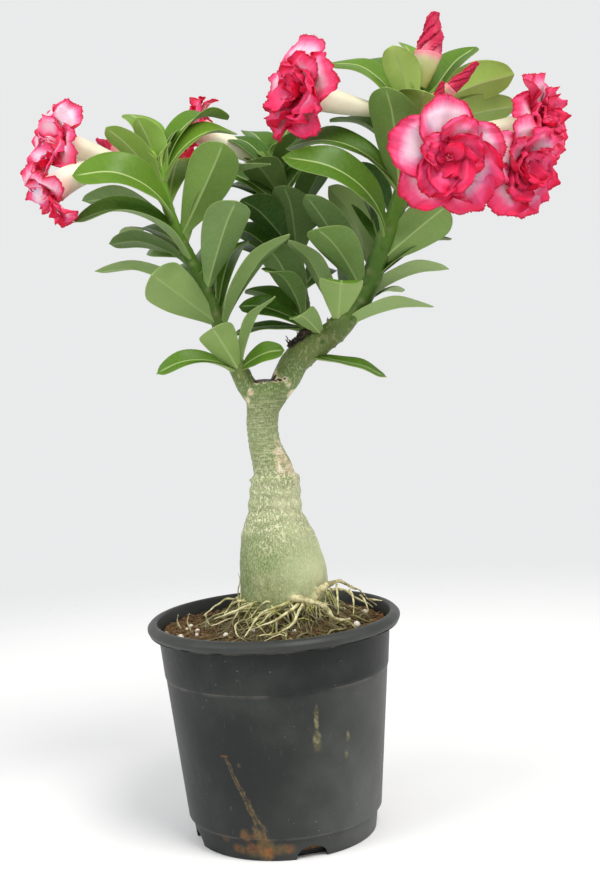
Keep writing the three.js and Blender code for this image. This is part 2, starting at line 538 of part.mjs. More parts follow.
// One petal on a flower's own axis: a thin grid that is rounded at its end, twisted and waved.
function makePetal({ angle, foot, reach, forward, width, twist, wave, rows, columns, phase }) {
  const top = [];
  const surface = (s, t) => {
    const end = s * (1 - PETAL_ROUND * (1 - Math.sqrt(1 - 0.92 * t * t)));
    const out = foot + (reach - foot) * end;
    const half = (width / 2) * petalHalfWidth(s);
    const turn = angle + (t * half) / Math.max(out, foot + 0.35 * (reach - foot));
    const ruffle = wave * s * s * Math.sin(WAVES * t + phase);
    const rise = along(forward, end) + twist * t * s + ruffle;
    return V(out * Math.cos(turn), out * Math.sin(turn), rise);
  };
  for (let i = 0; i <= rows; i++) {
    for (let j = 0; j <= columns; j++) top.push(surface(i / rows, (2 * j) / columns - 1));
  }
  const at = (i, j) => i * (columns + 1) + j;
  const rim = (i, j) => i === 0 || j === 0 || i === rows || j === columns;
  const points = top.map((p) => p.clone());
  const below = new Map();
  for (let i = 1; i < rows; i++) {
    for (let j = 1; j < columns; j++) {
      const lengthways = top[at(i + 1, j)].clone().sub(top[at(i - 1, j)]);
      const crossways = top[at(i, j + 1)].clone().sub(top[at(i, j - 1)]);
      const normal = lengthways.cross(crossways).normalize();
      below.set(at(i, j), points.length);
      points.push(top[at(i, j)].clone().addScaledVector(normal, -PETAL_THICK / 2));
      points[at(i, j)].addScaledVector(normal, PETAL_THICK / 2);
    }
  }
  const under = (i, j) => (rim(i, j) ? at(i, j) : below.get(at(i, j)));
  const faces = [];
  for (let i = 0; i < rows; i++) {
    for (let j = 0; j < columns; j++) {
      const [a, b, c, d] = [[i, j], [i + 1, j], [i + 1, j + 1], [i, j + 1]];
      faces.push([at(...a), at(...b), at(...c)], [at(...a), at(...c), at(...d)]);
      faces.push([under(...a), under(...c), under(...b)], [under(...a), under(...d), under(...c)]);
    }
  }
  return { points, faces };
}

// Turns points from a flower's own axis, +Z forward, to its place and facing.
function placer(mouth, facing) {
  const turn = new THREE.Quaternion().setFromUnitVectors(UP, vec(facing).normalize());
  return (p) => p.clone().applyQuaternion(turn).add(vec(mouth));
}

// The rings of petals: foot radius, reach and forward rise as shares of the flower's radius.
const PETAL_RINGS = [
  { foot: 6.5, reach: 1, forward: [2.5, 7, 8, 3], width: 1.1, twist: 3.4, wave: 2.4, rows: 3, columns: 3 },
  { foot: 5, reach: 0.74, forward: [3, 9, 13, 12], width: 0.92, twist: 3.2, wave: 3, rows: 2, columns: 3 },
  { foot: 3, reach: 0.46, forward: [3.5, 10, 16, 18], width: 0.7, twist: 2, wave: 2, rows: 2, columns: 2 },
];

function makeBloomPetals({ mouth, facing, radius, turn, petals }) {
  const place = placer(mouth, facing);
  const pieces = petals.flatMap((count, ring) => {
    const { foot, reach, forward, width, twist, wave, rows, columns } = PETAL_RINGS[ring];
    return Array.from({ length: count }, (_, i) => {
      const angle = THREE.MathUtils.degToRad(turn + (360 * (i + 0.5 * ring)) / count);
      const petal = makePetal({ angle, foot, reach: reach * radius, forward, width: width * radius,
        twist, wave, rows, columns, phase: 1.7 * i + ring });
      return solidOf(petal.points.map(place), petal.faces);
    });
  });
  const throat = [[0, GAP], [THROAT_RADIUS, GAP], [THROAT_RADIUS + 0.6, 4], [3, 5], [0, 4]]
    .map(([r, z]) => (r === 0 ? [V(0, 0, z)] : ringAcross(V(0, 0, z), UP, r, TUBE_SIDES, V(1, 0, 0))));
  return join([skin(throat.map((ring) => ring.map(place))), ...pieces]);
}

// The pale tube behind the petals, from the sepals to the mouth.
function makeBloomTube(bloom) {
  const path = flowerPath(bloom);
  const from = STALK_SHARE + GAP / path.getLength();
  return tube(path, TUBE_RADII, TUBE_SIDES, TUBE_RADII.length - 1, UP, from, 1);
}

// The coloured top of a bud: petals rolled round each other into a twisted point.
function makeBudPetals({ neck, tip, radius }) {
  const length = vec(neck).distanceTo(vec(tip)) - GAP;
  const place = placer(neck, vec(tip).sub(vec(neck)).toArray());
  const rings = BUD_GIRTH.map((share, k) =>
    Array.from({ length: BUD_SIDES }, (_, i) => {
      const turn = (2 * Math.PI * i) / BUD_SIDES + BUD_TWIST * k;
      const r = radius * share * (i % 2 ? BUD_FURROW : 1);
      return V(r * Math.cos(turn), r * Math.sin(turn), GAP + (length * k) / (BUD_GIRTH.length - 1));
    }));
  return skin(rings.map((ring) => ring.map(place)));
}

function makeBudTube(bud) {
  const path = budPath(bud);
  const from = STALK_SHARE + GAP / path.getLength();
  const radii = BUD_TUBE_SHARES.map((share) => share * bud.radius);
  return tube(path, radii, TUBE_SIDES, 3, UP, from, 1);
}

// A named mesh with its own finish.
function mesh(name, solid, colour, roughness) {
  const { numProp, vertProperties, triVerts, numVert } = solid.getMesh();
  const place = new Float32Array(numVert * 3);
  for (let i = 0; i < numVert; i++) {
    place.set(vertProperties.subarray(i * numProp, i * numProp + 3), 3 * i);
  }
  const geometry = new THREE.BufferGeometry();
  geometry.setAttribute("position", new THREE.BufferAttribute(place, 3));
  geometry.setIndex(new THREE.BufferAttribute(new Uint32Array(triVerts), 1));
  geometry.computeVertexNormals();
  const finish = new THREE.MeshStandardMaterial({ color: colour, roughness, metalness: 0 });
  const made = new THREE.Mesh(geometry, finish);
  made.name = name;
  return made;
}

const plant = new THREE.Group();
plant.add(mesh("pot", makePot(), 0x3c4141, 0.55));
plant.add(mesh("soil", makeSoil(), 0x5a4630, 0.95));
plant.add(mesh("caudex", makeCaudex(), 0xa9ad7c, 0.75));
plant.add(mesh("dried_stalk", makeDriedStalk(), 0x1d1815, 0.9));
for (const name of Object.keys(SHOOTS)) plant.add(mesh(name + "_shoot", makeShoot(name), 0x5f8a35, 0.45));
for (const bloom of BLOOMS) {
  plant.add(mesh(bloom.name + "_petals", makeBloomPetals(bloom), 0xd8325f, 0.6));
  plant.add(mesh(bloom.name + "_tube", makeBloomTube(bloom), 0xe4dcb4, 0.55));
}
for (const bud of BUDS) {
  plant.add(mesh(bud.name + "_petals", makeBudPetals(bud), 0xb82a4a, 0.6));
  plant.add(mesh(bud.name + "_tube", makeBudTube(bud), 0xd9d3a0, 0.55));
}

export default plant;
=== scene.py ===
# %% [markdown]
# # A potted desert rose
# This lesson dresses a plain solid model of a desert rose in its nursery pot. The solids give every place
# and size. Each step below swaps one of them for a finer piece of the same form: the pot, its soil, the
# swollen trunk with its roots, three leafy shoots, and the ruffled double flowers. The solids stay as they
# are, and the fine pieces lie where they lie.

import math

import bpy
import numpy as np
from mathutils import Matrix, Vector, noise


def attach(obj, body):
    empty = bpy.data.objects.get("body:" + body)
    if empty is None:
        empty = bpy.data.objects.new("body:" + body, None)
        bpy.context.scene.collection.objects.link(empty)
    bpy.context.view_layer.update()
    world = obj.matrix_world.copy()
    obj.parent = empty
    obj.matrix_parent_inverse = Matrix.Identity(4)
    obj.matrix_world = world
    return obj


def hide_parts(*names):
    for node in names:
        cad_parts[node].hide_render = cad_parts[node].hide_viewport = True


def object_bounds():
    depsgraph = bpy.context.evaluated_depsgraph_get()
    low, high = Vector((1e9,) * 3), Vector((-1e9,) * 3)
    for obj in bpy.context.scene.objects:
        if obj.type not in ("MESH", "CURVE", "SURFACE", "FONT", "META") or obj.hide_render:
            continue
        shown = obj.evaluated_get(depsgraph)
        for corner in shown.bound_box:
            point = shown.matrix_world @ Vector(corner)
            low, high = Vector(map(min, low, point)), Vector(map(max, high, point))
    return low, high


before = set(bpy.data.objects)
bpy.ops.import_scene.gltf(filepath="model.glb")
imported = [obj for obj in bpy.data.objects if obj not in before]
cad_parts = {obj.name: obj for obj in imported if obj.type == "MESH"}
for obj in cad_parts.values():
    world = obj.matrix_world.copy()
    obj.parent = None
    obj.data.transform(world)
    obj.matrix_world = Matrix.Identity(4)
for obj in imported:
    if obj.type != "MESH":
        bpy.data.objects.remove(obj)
cad_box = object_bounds()
print("solids:", len(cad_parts), "box:", [[round(v, 3) for v in corner] for corner in cad_box])

# %% [markdown]
# ## The camera
# The picture was taken from a little above the rim of the pot, from about a metre away, with the camera
# held slightly off level. A long lens keeps the pot's walls almost parallel. The place and the tilt were
# found by matching the rim, the foot and the fork of the trunk.

# %% Camera
CAMERA_PLACE = Vector((0.0266, -1.0536, 0.385))
CAMERA_TARGET = Vector((0.0266, 0, 0.2837))
CAMERA_ROLL = math.radians(-3.5)
CAMERA_LENS = 62

camera = bpy.data.objects.new("camera", bpy.data.cameras.new("camera"))
bpy.context.scene.collection.objects.link(camera)
back = (CAMERA_PLACE - CAMERA_TARGET).normalized()
level = Vector((1, 0, 0))
upright = back.cross(level)
right = math.cos(CAMERA_ROLL) * level + math.sin(CAMERA_ROLL) * upright
above = back.cross(right)
camera.matrix_world = Matrix.Translation(CAMERA_PLACE) @ Matrix((right, above, back)).transposed().to_4x4()
camera.data.lens = CAMERA_LENS
camera.data.clip_start = 0.01
bpy.context.scene.camera = camera
print("camera distance:", round((CAMERA_PLACE - CAMERA_TARGET).length, 3), "m")

# %% [markdown]
# ## Light
# Soft daylight falls on the plant from all round. The sky is brightest near the horizon, where a white room
# would throw light back, and dimmer overhead. Two large lamps give the light a direction: the stronger one
# from the upper right, the weaker one from the left. One sun lamp would be simpler, but its shadows are
# hard.

# %% Light
# Each lamp: name, place, size, power and colour.
LAMPS = [
    ("daylight", (1, -1.3, 2.7), 1.5, 66, (1, 0.985, 0.95)),
    ("fill", (-1.7, -1, 1.6), 1.6, 26, (0.97, 0.985, 1)),
]
LAMP_AIM = Vector((0, 0, 0.3))
# How the sky dims with height: where that starts and ends, and how bright the sky is there.
SKY_FADE = {"From Min": 0.25, "From Max": 0.8, "To Min": 1, "To Max": 0.6}
SKY_COLOUR = (0.82, 0.825, 0.83, 1)


def add_lamp(name, place, size, power, colour):
    lamp = bpy.data.objects.new(name, bpy.data.lights.new(name, "AREA"))
    lamp.data.shape = "DISK"
    lamp.data.size = size
    lamp.data.energy = power
    lamp.data.color = colour
    lamp.location = place
    lamp.rotation_euler = (LAMP_AIM - Vector(place)).to_track_quat("-Z", "Y").to_euler()
    bpy.context.scene.collection.objects.link(lamp)


def make_sky():
    sky = bpy.data.worlds.new("pale_sky")
    sky.use_nodes = True
    nodes, links = sky.node_tree.nodes, sky.node_tree.links
    place, split, fade = (nodes.new("ShaderNode" + kind) for kind in ("TexCoord", "SeparateXYZ", "MapRange"))
    fade.interpolation_type = "SMOOTHSTEP"
    for socket, value in SKY_FADE.items():
        fade.inputs[socket].default_value = value
    links.new(place.outputs["Generated"], split.inputs[0])
    links.new(split.outputs["Z"], fade.inputs["Value"])
    links.new(fade.outputs["Result"], nodes["Background"].inputs["Strength"])
    nodes["Background"].inputs["Color"].default_value = SKY_COLOUR
    bpy.context.scene.world = sky


for row in LAMPS:
    add_lamp(*row)
make_sky()
bpy.context.scene.view_settings.view_transform = "Standard"
print("lamps:", [row[0] for row in LAMPS], "sky:", bpy.context.scene.world.name)

# %% [markdown]
# ## Small tools
# Every piece here is a mesh worked out point by point, because leaves, petals and roots all follow a curve.
# The sizes are written in millimetres, as a gardener would give them, and turned into metres at the end.

# %% Meshes
MM, TURN = 0.001, 2 * math.pi


def set_marks(mesh, marks):
    """Puts named values on a mesh, three to a point, which the finish reads."""
    for name, values in marks.items():
        layer = mesh.attributes.new(name, "FLOAT_VECTOR", "POINT")
        layer.data.foreach_set("vector", np.asarray(values, np.float32).ravel())


def make_mesh(name, points, faces, finish, marks=None):
    """A smooth mesh object from points in millimetres. A corner named twice counts once."""
    mesh = bpy.data.meshes.new(name)
    corners = [list(dict.fromkeys(face)) for face in faces]
    mesh.from_pydata((np.asarray(points, float) * MM).tolist(), [], corners)
    mesh.polygons.foreach_set("use_smooth", [True] * len(mesh.polygons))
    set_marks(mesh, marks or {})
    mesh.materials.append(finish)
    made = bpy.data.objects.new(name, mesh)
    bpy.context.scene.collection.objects.link(made)
    print(name, "triangles:", sum(len(p.vertices) - 2 for p in mesh.polygons))
    return made


class Collector:
    """Gathers many small bodies into one mesh."""

    def __init__(self):
        self.points, self.faces, self.marks, self.count = [], [], {}, 0

    def add(self, points, faces, **marks):
        self.points.append(np.asarray(points, float))
        self.faces.extend((np.asarray(faces) + self.count).tolist())
        self.count += len(points)
        for name, values in marks.items():
            self.marks.setdefault(name, []).append(np.broadcast_to(values, (len(points), 3)))

    def mesh(self, name, finish):
        marks = {key: np.vstack(rows) for key, rows in self.marks.items()}
        return make_mesh(name, np.vstack(self.points), self.faces, finish, marks)

# %% Curves
def unit(v):
    return v / np.maximum(np.linalg.norm(v, axis=-1, keepdims=True), 1e-9)


def smooth(x, a, b):
    """A soft step from 0 at a to 1 at b."""
    t = np.clip((np.asarray(x, float) - a) / (b - a), 0, 1)
    return t * t * (3 - 2 * t)


def evenly(count):
    return np.linspace(0, 1, count)


def along(values, share):
    """The value a share of the way along a list of values."""
    return np.interp(np.clip(share, 0, 1), evenly(len(values)), values)


def curve_at(points, shares):
    """Places and directions on a smooth curve through a row of points."""
    p = np.asarray(points, float)
    p = np.vstack([2 * p[0] - p[1], p, 2 * p[-1] - p[-2]])
    x = np.clip(np.atleast_1d(shares), 0, 1) * (len(p) - 3)
    i = np.minimum(x.astype(int), len(p) - 4)
    t = (x - i)[:, None]
    a, b, c, d = p[i], p[i + 1], p[i + 2], p[i + 3]
    m, n = (c - a) / 2, (d - b) / 2
    cubic, square = 2 * b - 2 * c + m + n, -3 * b + 3 * c - 2 * m - n
    return cubic * t**3 + square * t**2 + m * t + b, unit(3 * cubic * t**2 + 2 * square * t + m)


def bend_at(a, b, c, shares):
    """Places and directions on a simple bend from a to c, pulled towards b."""
    t = np.atleast_1d(shares)[:, None]
    place = a * (1 - t) ** 2 + 2 * b * t * (1 - t) + c * t**2
    return place, unit((b - a) * (1 - t) + (c - b) * t)


print("halfway round a bend:", bend_at(*np.array([(0, 0, 0), (0, 0, 10), (10, 0, 10)]), 0.5)[0].tolist())

# %% Closed bodies
def ring_turns(sides):
    return np.linspace(0, TURN, sides, endpoint=False)


def ring_faces(rings, sides):
    """Faces between rings of points, and a fan at each end to a point that comes after the rings.

    A fan's triangle names its last corner twice, so that every face has four."""
    at = np.arange(rings * sides).reshape(rings, sides)
    after = np.roll(at, -1, axis=1)
    walls = np.stack([at[:-1], after[:-1], after[1:], at[1:]], -1).reshape(-1, 4)
    first, last = np.full(sides, rings * sides), np.full(sides, rings * sides + 1)
    fans = np.stack([after[0], at[0], first, first], -1), np.stack([at[-1], after[-1], last, last], -1)
    return np.vstack([walls, *fans]).tolist()


def tube_body(centres, directions, radii, sides, reference=(0, 0, 1), shape=None):
    """Points and faces of a closed tube. Shape scales the radius by ring and side."""
    turn = ring_turns(sides)
    reference = np.asarray(reference, float)
    a = unit(reference - directions * (directions @ reference)[:, None])
    b = np.cross(directions, a)
    reach = np.asarray(radii, float)[:, None] * (np.ones(sides) if shape is None else shape)
    ring = a[:, None] * np.cos(turn)[None, :, None] + b[:, None] * np.sin(turn)[None, :, None]
    points = (centres[:, None] + ring * reach[:, :, None]).reshape(-1, 3)
    return np.vstack([points, centres[:1], centres[-1:]]), ring_faces(len(centres), sides)


def sheet_body(top, under):
    """A closed thin sheet from its upper and its lower grid of points."""
    rows, columns = top.shape[:2]
    at = np.arange(rows * columns).reshape(rows, columns)
    low = rows * columns
    a, b, c, d = at[:-1, :-1], at[1:, :-1], at[1:, 1:], at[:-1, 1:]
    upper = np.stack([a, b, c, d], -1).reshape(-1, 4)
    lower = np.stack([a, d, c, b], -1).reshape(-1, 4) + low
    edge = np.concatenate([at[:-1, 0], at[-1, :-1], at[:0:-1, -1], at[0, :0:-1]])
    after = np.roll(edge, -1)
    rim = np.stack([edge, edge + low, after + low, after], -1)
    return np.vstack([top.reshape(-1, 3), under.reshape(-1, 3)]), np.vstack([upper, lower, rim]).tolist()


def roughness_of(points, scale, seed, octaves=3):
    """A smooth random value at each point, for dents and lumps."""
    shift = Vector((seed * 17.3, seed * 5.1, seed * 11.7))
    return np.array([noise.fractal(Vector(p) * scale + shift, 0.6, 2.1, octaves) for p in points.tolist()])


def wander_of(points, scale, seed):
    return np.stack([roughness_of(points, scale, seed + k, 2) for k in range(3)], -1)


print("faces of a tube with 3 rings and 8 sides:", len(ring_faces(3, 8)))

# %% [markdown]
# ## Building a finish
# A finish is a small network of nodes. The helper below keeps each one short: it makes a node, sets its
# plain values, and joins whatever is passed in. Patterns come from noise, cells and the marks on the mesh,
# never from a picture, so that they wrap round the piece and hold up close.

# %% Finish helper
class Finish:
    """A material, built up node by node."""

    def __init__(self, name, **plain):
        self.material = bpy.data.materials.new(name)
        self.material.use_nodes = True
        self.tree = self.material.node_tree
        self.shader = self.tree.nodes["Principled BSDF"]
        for socket, value in plain.items():
            self.shader.inputs[socket.replace("_", " ")].default_value = value

    def node(self, kind, output=0, inputs=(), **settings):
        made = self.tree.nodes.new(kind)
        for name, value in settings.items():
            setattr(made, name, value)
        for key, value in dict(inputs).items():
            socket = made.inputs[key]
            if isinstance(value, bpy.types.NodeSocket):
                self.tree.links.new(value, socket)
            else:
                socket.default_value = value
        return made.outputs[output]

    def math(self, operation, a, b=0, clamp=False):
        return self.node("ShaderNodeMath", inputs={0: a, 1: b}, operation=operation, use_clamp=clamp)

    def times(self, a, b):
        return self.math("MULTIPLY", a, b)

    def plus(self, a, b):
        return self.math("ADD", a, b)

    def minus(self, a, b):
        return self.math("SUBTRACT", a, b)

    def step(self, value, low, high, out_low=0, out_high=1):
        """A smooth step from out_low to out_high as the value goes from low to high."""
        inputs = {0: value, 1: low, 2: high, 3: out_low, 4: out_high}
        return self.node("ShaderNodeMapRange", inputs=inputs, interpolation_type="SMOOTHSTEP")

    def mix(self, share, a, b):
        a, b = ((*colour, 1) if isinstance(colour, tuple) else colour for colour in (a, b))
        return self.node("ShaderNodeMix", 2, {0: share, 6: a, 7: b}, data_type="RGBA")

    def where(self):
        return self.node("ShaderNodeTexCoord", output=3)

    def stretched(self, scale, turn=(0, 0, 0)):
        return self.node("ShaderNodeMapping", inputs={0: self.where(), 2: turn, 3: scale})

    def noise(self, scale, detail=3, vector=None, rough=0.55, distortion=0):
        inputs = {"Scale": scale, "Detail": detail, "Roughness": rough, "Distortion": distortion}
        return self.node("ShaderNodeTexNoise", inputs={"Vector": vector or self.where(), **inputs})

    def cells(self, scale):
        return self.node("ShaderNodeTexVoronoi", inputs={"Vector": self.where(), "Scale": scale})

    def mark(self, name):
        vector = self.node("ShaderNodeAttribute", output=1, attribute_name=name)
        split = self.tree.nodes.new("ShaderNodeSeparateXYZ")
        self.tree.links.new(vector, split.inputs[0])
        return split.outputs[0], split.outputs[1], split.outputs[2]

    def set(self, socket, value):
        self.tree.links.new(value, self.shader.inputs[socket])

    def bump(self, height, depth, under=None):
        """Low relief from a height, depth in metres."""
        inputs = {"Height": height, "Distance": depth, "Strength": 1}
        if under is not None:
            inputs["Normal"] = under
        return self.node("ShaderNodeBump", inputs=inputs)

    def done(self):
        print(self.material.name, "nodes:", len(self.tree.nodes))
        return self.material

# %% [markdown]
# ## The floor
# The floor is a round white sheet that fades out at its edge, so that no line shows behind the pot. A
# square sheet would do from the front, but its corners would show from above.

# %% Floor
FLOOR_RADIUS, FLOOR_SIDES = 1.1, 96
# Where the floor starts to fade, as a share of its radius.
FLOOR_FADE = 0.45


def floor_finish():
    f = Finish("pale_floor", Roughness=0.75)
    f.set("Base Color", f.mix(f.noise(9, 4), (0.9, 0.9, 0.895), (0.94, 0.94, 0.94)))
    centre = f.node("ShaderNodeVectorMath", output=1, inputs={0: f.where()}, operation="LENGTH")
    f.set("Alpha", f.step(centre, FLOOR_FADE * FLOOR_RADIUS, FLOOR_RADIUS, 1, 0))
    return f.done()


def make_floor():
    turn = ring_turns(FLOOR_SIDES)
    rim = np.stack([np.cos(turn), np.sin(turn), 0 * turn], -1) * FLOOR_RADIUS / MM
    floor = make_mesh("floor", rim, [list(range(FLOOR_SIDES))], floor_finish())


make_floor()

# %% [markdown]
# ## The pot
# The real pot is injection moulded in thin black plastic: a wall that leans out, a thicker band at the top,
# a rolled lip, a stepped foot, and arched notches that let water out. It could be spun from a profile with
# a screw modifier. Working out the rings is as short, and puts the closest rings on the outer wall,
# where the stains are marked. The notches are cut out with blocks, which leaves their edges crisp.

# %% Pot sizes
RIM_RADIUS, RIM_INNER_RADIUS, RIM_TOP, RIM_HEIGHT = 90, 82.8, 157.7, 8
WALL, WALL_TOP_RADIUS, LEDGE_RADIUS, LEDGE_Z, LEDGE_STEP = 2, 82.6, 80, 119, 0.7
FOOT_LEDGE_RADIUS, FOOT_LEDGE_Z, FOOT_RADIUS, FOOT_LEAN = 69.5, 16.5, 64.7, 2.2
FLOOR_Z, FLOOR_THICK, FOOT_RING_INNER, CENTRE_PAD_RADIUS = 2.5, 2.5, 50, 14
DRAIN_COUNT, DRAIN_FIRST_ANGLE, DRAIN_WIDTH, DRAIN_HEIGHT, DRAIN_DEPTH = 4, -74, 22, 9, 16
# Under 1, this makes a notch's arch squarer than an ellipse.
DRAIN_ARCH_POWER = 0.8
# How far a block that cuts a notch starts below the floor.
DRAIN_BLOCK_BELOW = 2
POT_SIDES = 288
# How long a stretch of the profile may be: on the outer wall, where the stains are marked, and elsewhere.
OUTER_STEP, PLAIN_STEP = 2.2, 9
print("pot:", 2 * RIM_RADIUS, "mm over its rim and", RIM_TOP, "mm high")

# %% Pot profile
def round_corner(centre, radius, first, last, steps):
    """Points of an arc, from its first to its last angle, where 0 is outward and 90 is up."""
    turns = np.radians(np.linspace(first, last, steps))
    return [(centre[0] + radius * math.cos(a), centre[1] + radius * math.sin(a)) for a in turns]


def pot_profile():
    """The corners of the pot's section, each a distance from the axis and a height."""
    lip = RIM_TOP - RIM_HEIGHT
    floor_top = FLOOR_Z + FLOOR_THICK
    corners = [(0, 0), (CENTRE_PAD_RADIUS, 0), (CENTRE_PAD_RADIUS + 1, FLOOR_Z), (FOOT_RING_INNER, FLOOR_Z)]
    corners += [(FOOT_RING_INNER + 1, 0), (FOOT_RADIUS - 1, 0), (FOOT_RADIUS, 0.6)]
    corners += [(FOOT_RADIUS + FOOT_LEAN, FOOT_LEDGE_Z - 0.4), (FOOT_RADIUS + FOOT_LEAN + 0.5, FOOT_LEDGE_Z)]
    corners += [(FOOT_LEDGE_RADIUS - 0.4, FOOT_LEDGE_Z + 0.2), (FOOT_LEDGE_RADIUS, FOOT_LEDGE_Z + 1)]
    corners += [(LEDGE_RADIUS - LEDGE_STEP, LEDGE_Z - 0.3), (LEDGE_RADIUS - 0.2, LEDGE_Z)]
    corners += [(LEDGE_RADIUS, LEDGE_Z + 0.8), (WALL_TOP_RADIUS, lip + 0.6), (WALL_TOP_RADIUS + 0.7, lip)]
    corners += [(RIM_RADIUS - 1.6, lip - 0.4)]
    corners += round_corner((RIM_RADIUS - 4, lip + 3.6), 4, -62, 20, 7)
    corners += round_corner((RIM_RADIUS - 5, RIM_TOP - 4.6), 4.6, 28, 92, 7)
    corners += round_corner((RIM_INNER_RADIUS + 2, RIM_TOP - 2), 2, 95, 180, 6)
    corners += [(WALL_TOP_RADIUS - WALL, lip), (FOOT_LEDGE_RADIUS - WALL, FOOT_LEDGE_Z + 2)]
    corners += [(FOOT_RADIUS - WALL, FOOT_LEDGE_Z), (FOOT_RADIUS - WALL - 1, floor_top), (0, floor_top)]
    return corners


def pot_rings(corners):
    """The profile with long stretches split. The outer wall is where the profile climbs."""
    fine = [corners[0]]
    for (r0, z0), (r1, z1) in zip(corners, corners[1:]):
        longest = OUTER_STEP if z1 > z0 else PLAIN_STEP
        parts = max(1, math.ceil(math.hypot(r1 - r0, z1 - z0) / longest))
        fine += [(r0 + (r1 - r0) * k / parts, z0 + (z1 - z0) * k / parts) for k in range(1, parts + 1)]
    return fine


print("profile corners:", len(pot_profile()), "rings:", len(pot_rings(pot_profile())))

# %% Turning and cutting
def lathe(rings, sides):
    """A closed body turned from a profile that starts and ends on the axis."""
    turn = ring_turns(sides)
    reach, height = np.array(rings[1:-1], float).T[:, :, None]
    points = np.stack([reach * np.cos(turn), reach * np.sin(turn), height + 0 * turn], -1).reshape(-1, 3)
    ends = [(0, 0, rings[0][1]), (0, 0, rings[-1][1])]
    return np.vstack([points, ends]), ring_faces(len(rings) - 2, sides)


def drain_cutter(angle):
    """A block with an arched top that cuts one drain notch through the foot."""
    half = DRAIN_WIDTH / 2
    turns = np.linspace(0, math.pi, 15)
    arch = [(half * math.cos(a), DRAIN_HEIGHT * math.sin(a) ** DRAIN_ARCH_POWER) for a in turns]
    outline = [(half, -DRAIN_BLOCK_BELOW)] + arch + [(-half, -DRAIN_BLOCK_BELOW)]
    turn = math.radians(angle)
    out = np.array([math.cos(turn), math.sin(turn), 0])
    side = np.array([-math.sin(turn), math.cos(turn), 0])
    near, far = FOOT_RADIUS - DRAIN_DEPTH / 2, FOOT_RADIUS + DRAIN_DEPTH / 2
    rows = [[out * r + side * x + np.array([0, 0, z]) for x, z in outline] for r in (near, far)]
    count = len(outline)
    faces = [[i, (i + 1) % count, count + (i + 1) % count, count + i] for i in range(count)]
    faces += [list(range(count))[::-1], list(range(count, 2 * count))]
    return np.vstack(rows), faces


def apply_modifiers(piece):
    view = bpy.context.evaluated_depsgraph_get()
    shaped = bpy.data.meshes.new_from_object(piece.evaluated_get(view))
    shaped.polygons.foreach_set("use_smooth", [True] * len(shaped.polygons))
    piece.modifiers.clear()
    piece.data = shaped
    return piece


def points_of(piece):
    return np.array([v.co[:] for v in piece.data.vertices]) / MM


print("corners of a block that cuts a notch:", len(drain_cutter(0)[0]))

# %% [markdown]
# ## The pot's dust, stains and painted light
# The black plastic isn't plain. It has a cloudy film of dust, a paler rim, fine upright scuffs from handling,
# olive and pale marks, and painted light: it is paler on the right of the front and near the foot, where the
# lamp and the floor light it, and painted highlights run along the lip and the ledges. A thin run of rust
# goes down the front into a ragged patch at the foot. A picture wrapped round the pot could carry all this.
# Here each stain is marked on the mesh where it lies, and noise in the finish gives it a ragged edge that
# holds up close.

# %% Stain rows
# The rust that has run down the front, from its upper end: angle, height, half width.
RUST_RUN = [
    (-119.5, 76, 0.9), (-116.2, 63, 1), (-112.5, 52.5, 1.2), (-108.3, 40, 1.7), (-104.7, 28, 2.4),
    (-103, 17, 3.2),
]
# Other rust and dirt: angle round the pot in degrees, height, half width, half height, lean, strength.
RUST_MARKS = [
    (-102, 9, 8, 11, 0, 0.98), (-120.5, 75.5, 4.5, 1.4, -0.2, 0.85), (-107, 36, 4, 9, 0.4, 0.55),
    (-113, 19, 5.5, 7, 0, 0.8), (-119, 8, 7, 6, 0, 0.74), (-110, 8, 9, 7, 0, 0.76),
    (-105, 20, 6, 6, 0, 0.8), (-91, 8.5, 11, 6, 0, 0.78), (-128, 14, 6, 4, 0, 0.62),
    (-62, 5, 6, 3, 0, 0.4), (-116, 28, 5, 6, 0.2, 0.3),
    (-45, 140, 10, 2.2, 0, 0.35), (120, 40, 4, 18, 0.2, 0.7), (60, 12, 14, 6, 0, 0.8),
    (170, 20, 8, 9, 0.1, 0.6), (20, 70, 1.2, 20, 0.1, 0.5),
]
# Olive and pale marks, in the same way. The broad soft one at -34 degrees is painted light: the right of the
# front, paler where the lamp lights it.
PALE_MARKS = [
    (-70.4, 100, 2.2, 12, 0, 0.95), (-70.2, 84, 3.6, 9, 0.05, 1.05), (-52, 83, 2.4, 4.5, 0, 1.05),
    (-53, 71, 2.4, 4, 0, 0.9), (-56, 104, 5, 6, 0, 0.45), (-70, 78, 6, 7, 0, 0.4),
    (-34, 84, 16, 50, 0, 0.3), (-62, 30, 20, 22, 0.3, 0.25),
    (-46, 112, 6, 5, 0.3, 0.5), (-60, 60, 7, 5, 0.5, 0.45), (-118, 96, 5, 3, 0, 0.3),
    (-84, 64, 26, 0.7, 0, 0.5), (-112, 70, 2, 3, 0, 0.6), (-120, 38, 1.6, 2.5, 0, 0.8),
    (-75, 104, 14, 2, 0.1, 0.3), (-108, 130, 3, 3, 0, 0.5), (90, 80, 2, 16, 0, 0.6),
    (200, 100, 6, 12, 0.2, 0.4), (20, 110, 7, 3, 0.2, 0.5), (140, 60, 12, 2, 0.1, 0.5),
]
# Painted highlights, pale lines under the lip and along the ledges where they catch the light: height, half
# width, strength, and how far from the axis they start.
LEDGE_HIGHLIGHTS = [(149.6, 0.55, 0.5, 82), (FOOT_LEDGE_Z, 0.5, 0.35, 66), (LEDGE_Z, 0.45, 0.32, 79)]
print("stains:", len(RUST_MARKS), "of rust,", len(PALE_MARKS), "olive or pale,", len(LEDGE_HIGHLIGHTS), "lines")

# %% Where the stains lie
def round_pot(points):
    """Each point's angle in degrees, distance from the axis, and height."""
    angle = np.degrees(np.arctan2(points[:, 1], points[:, 0]))
    return angle, np.hypot(points[:, 0], points[:, 1]), points[:, 2]


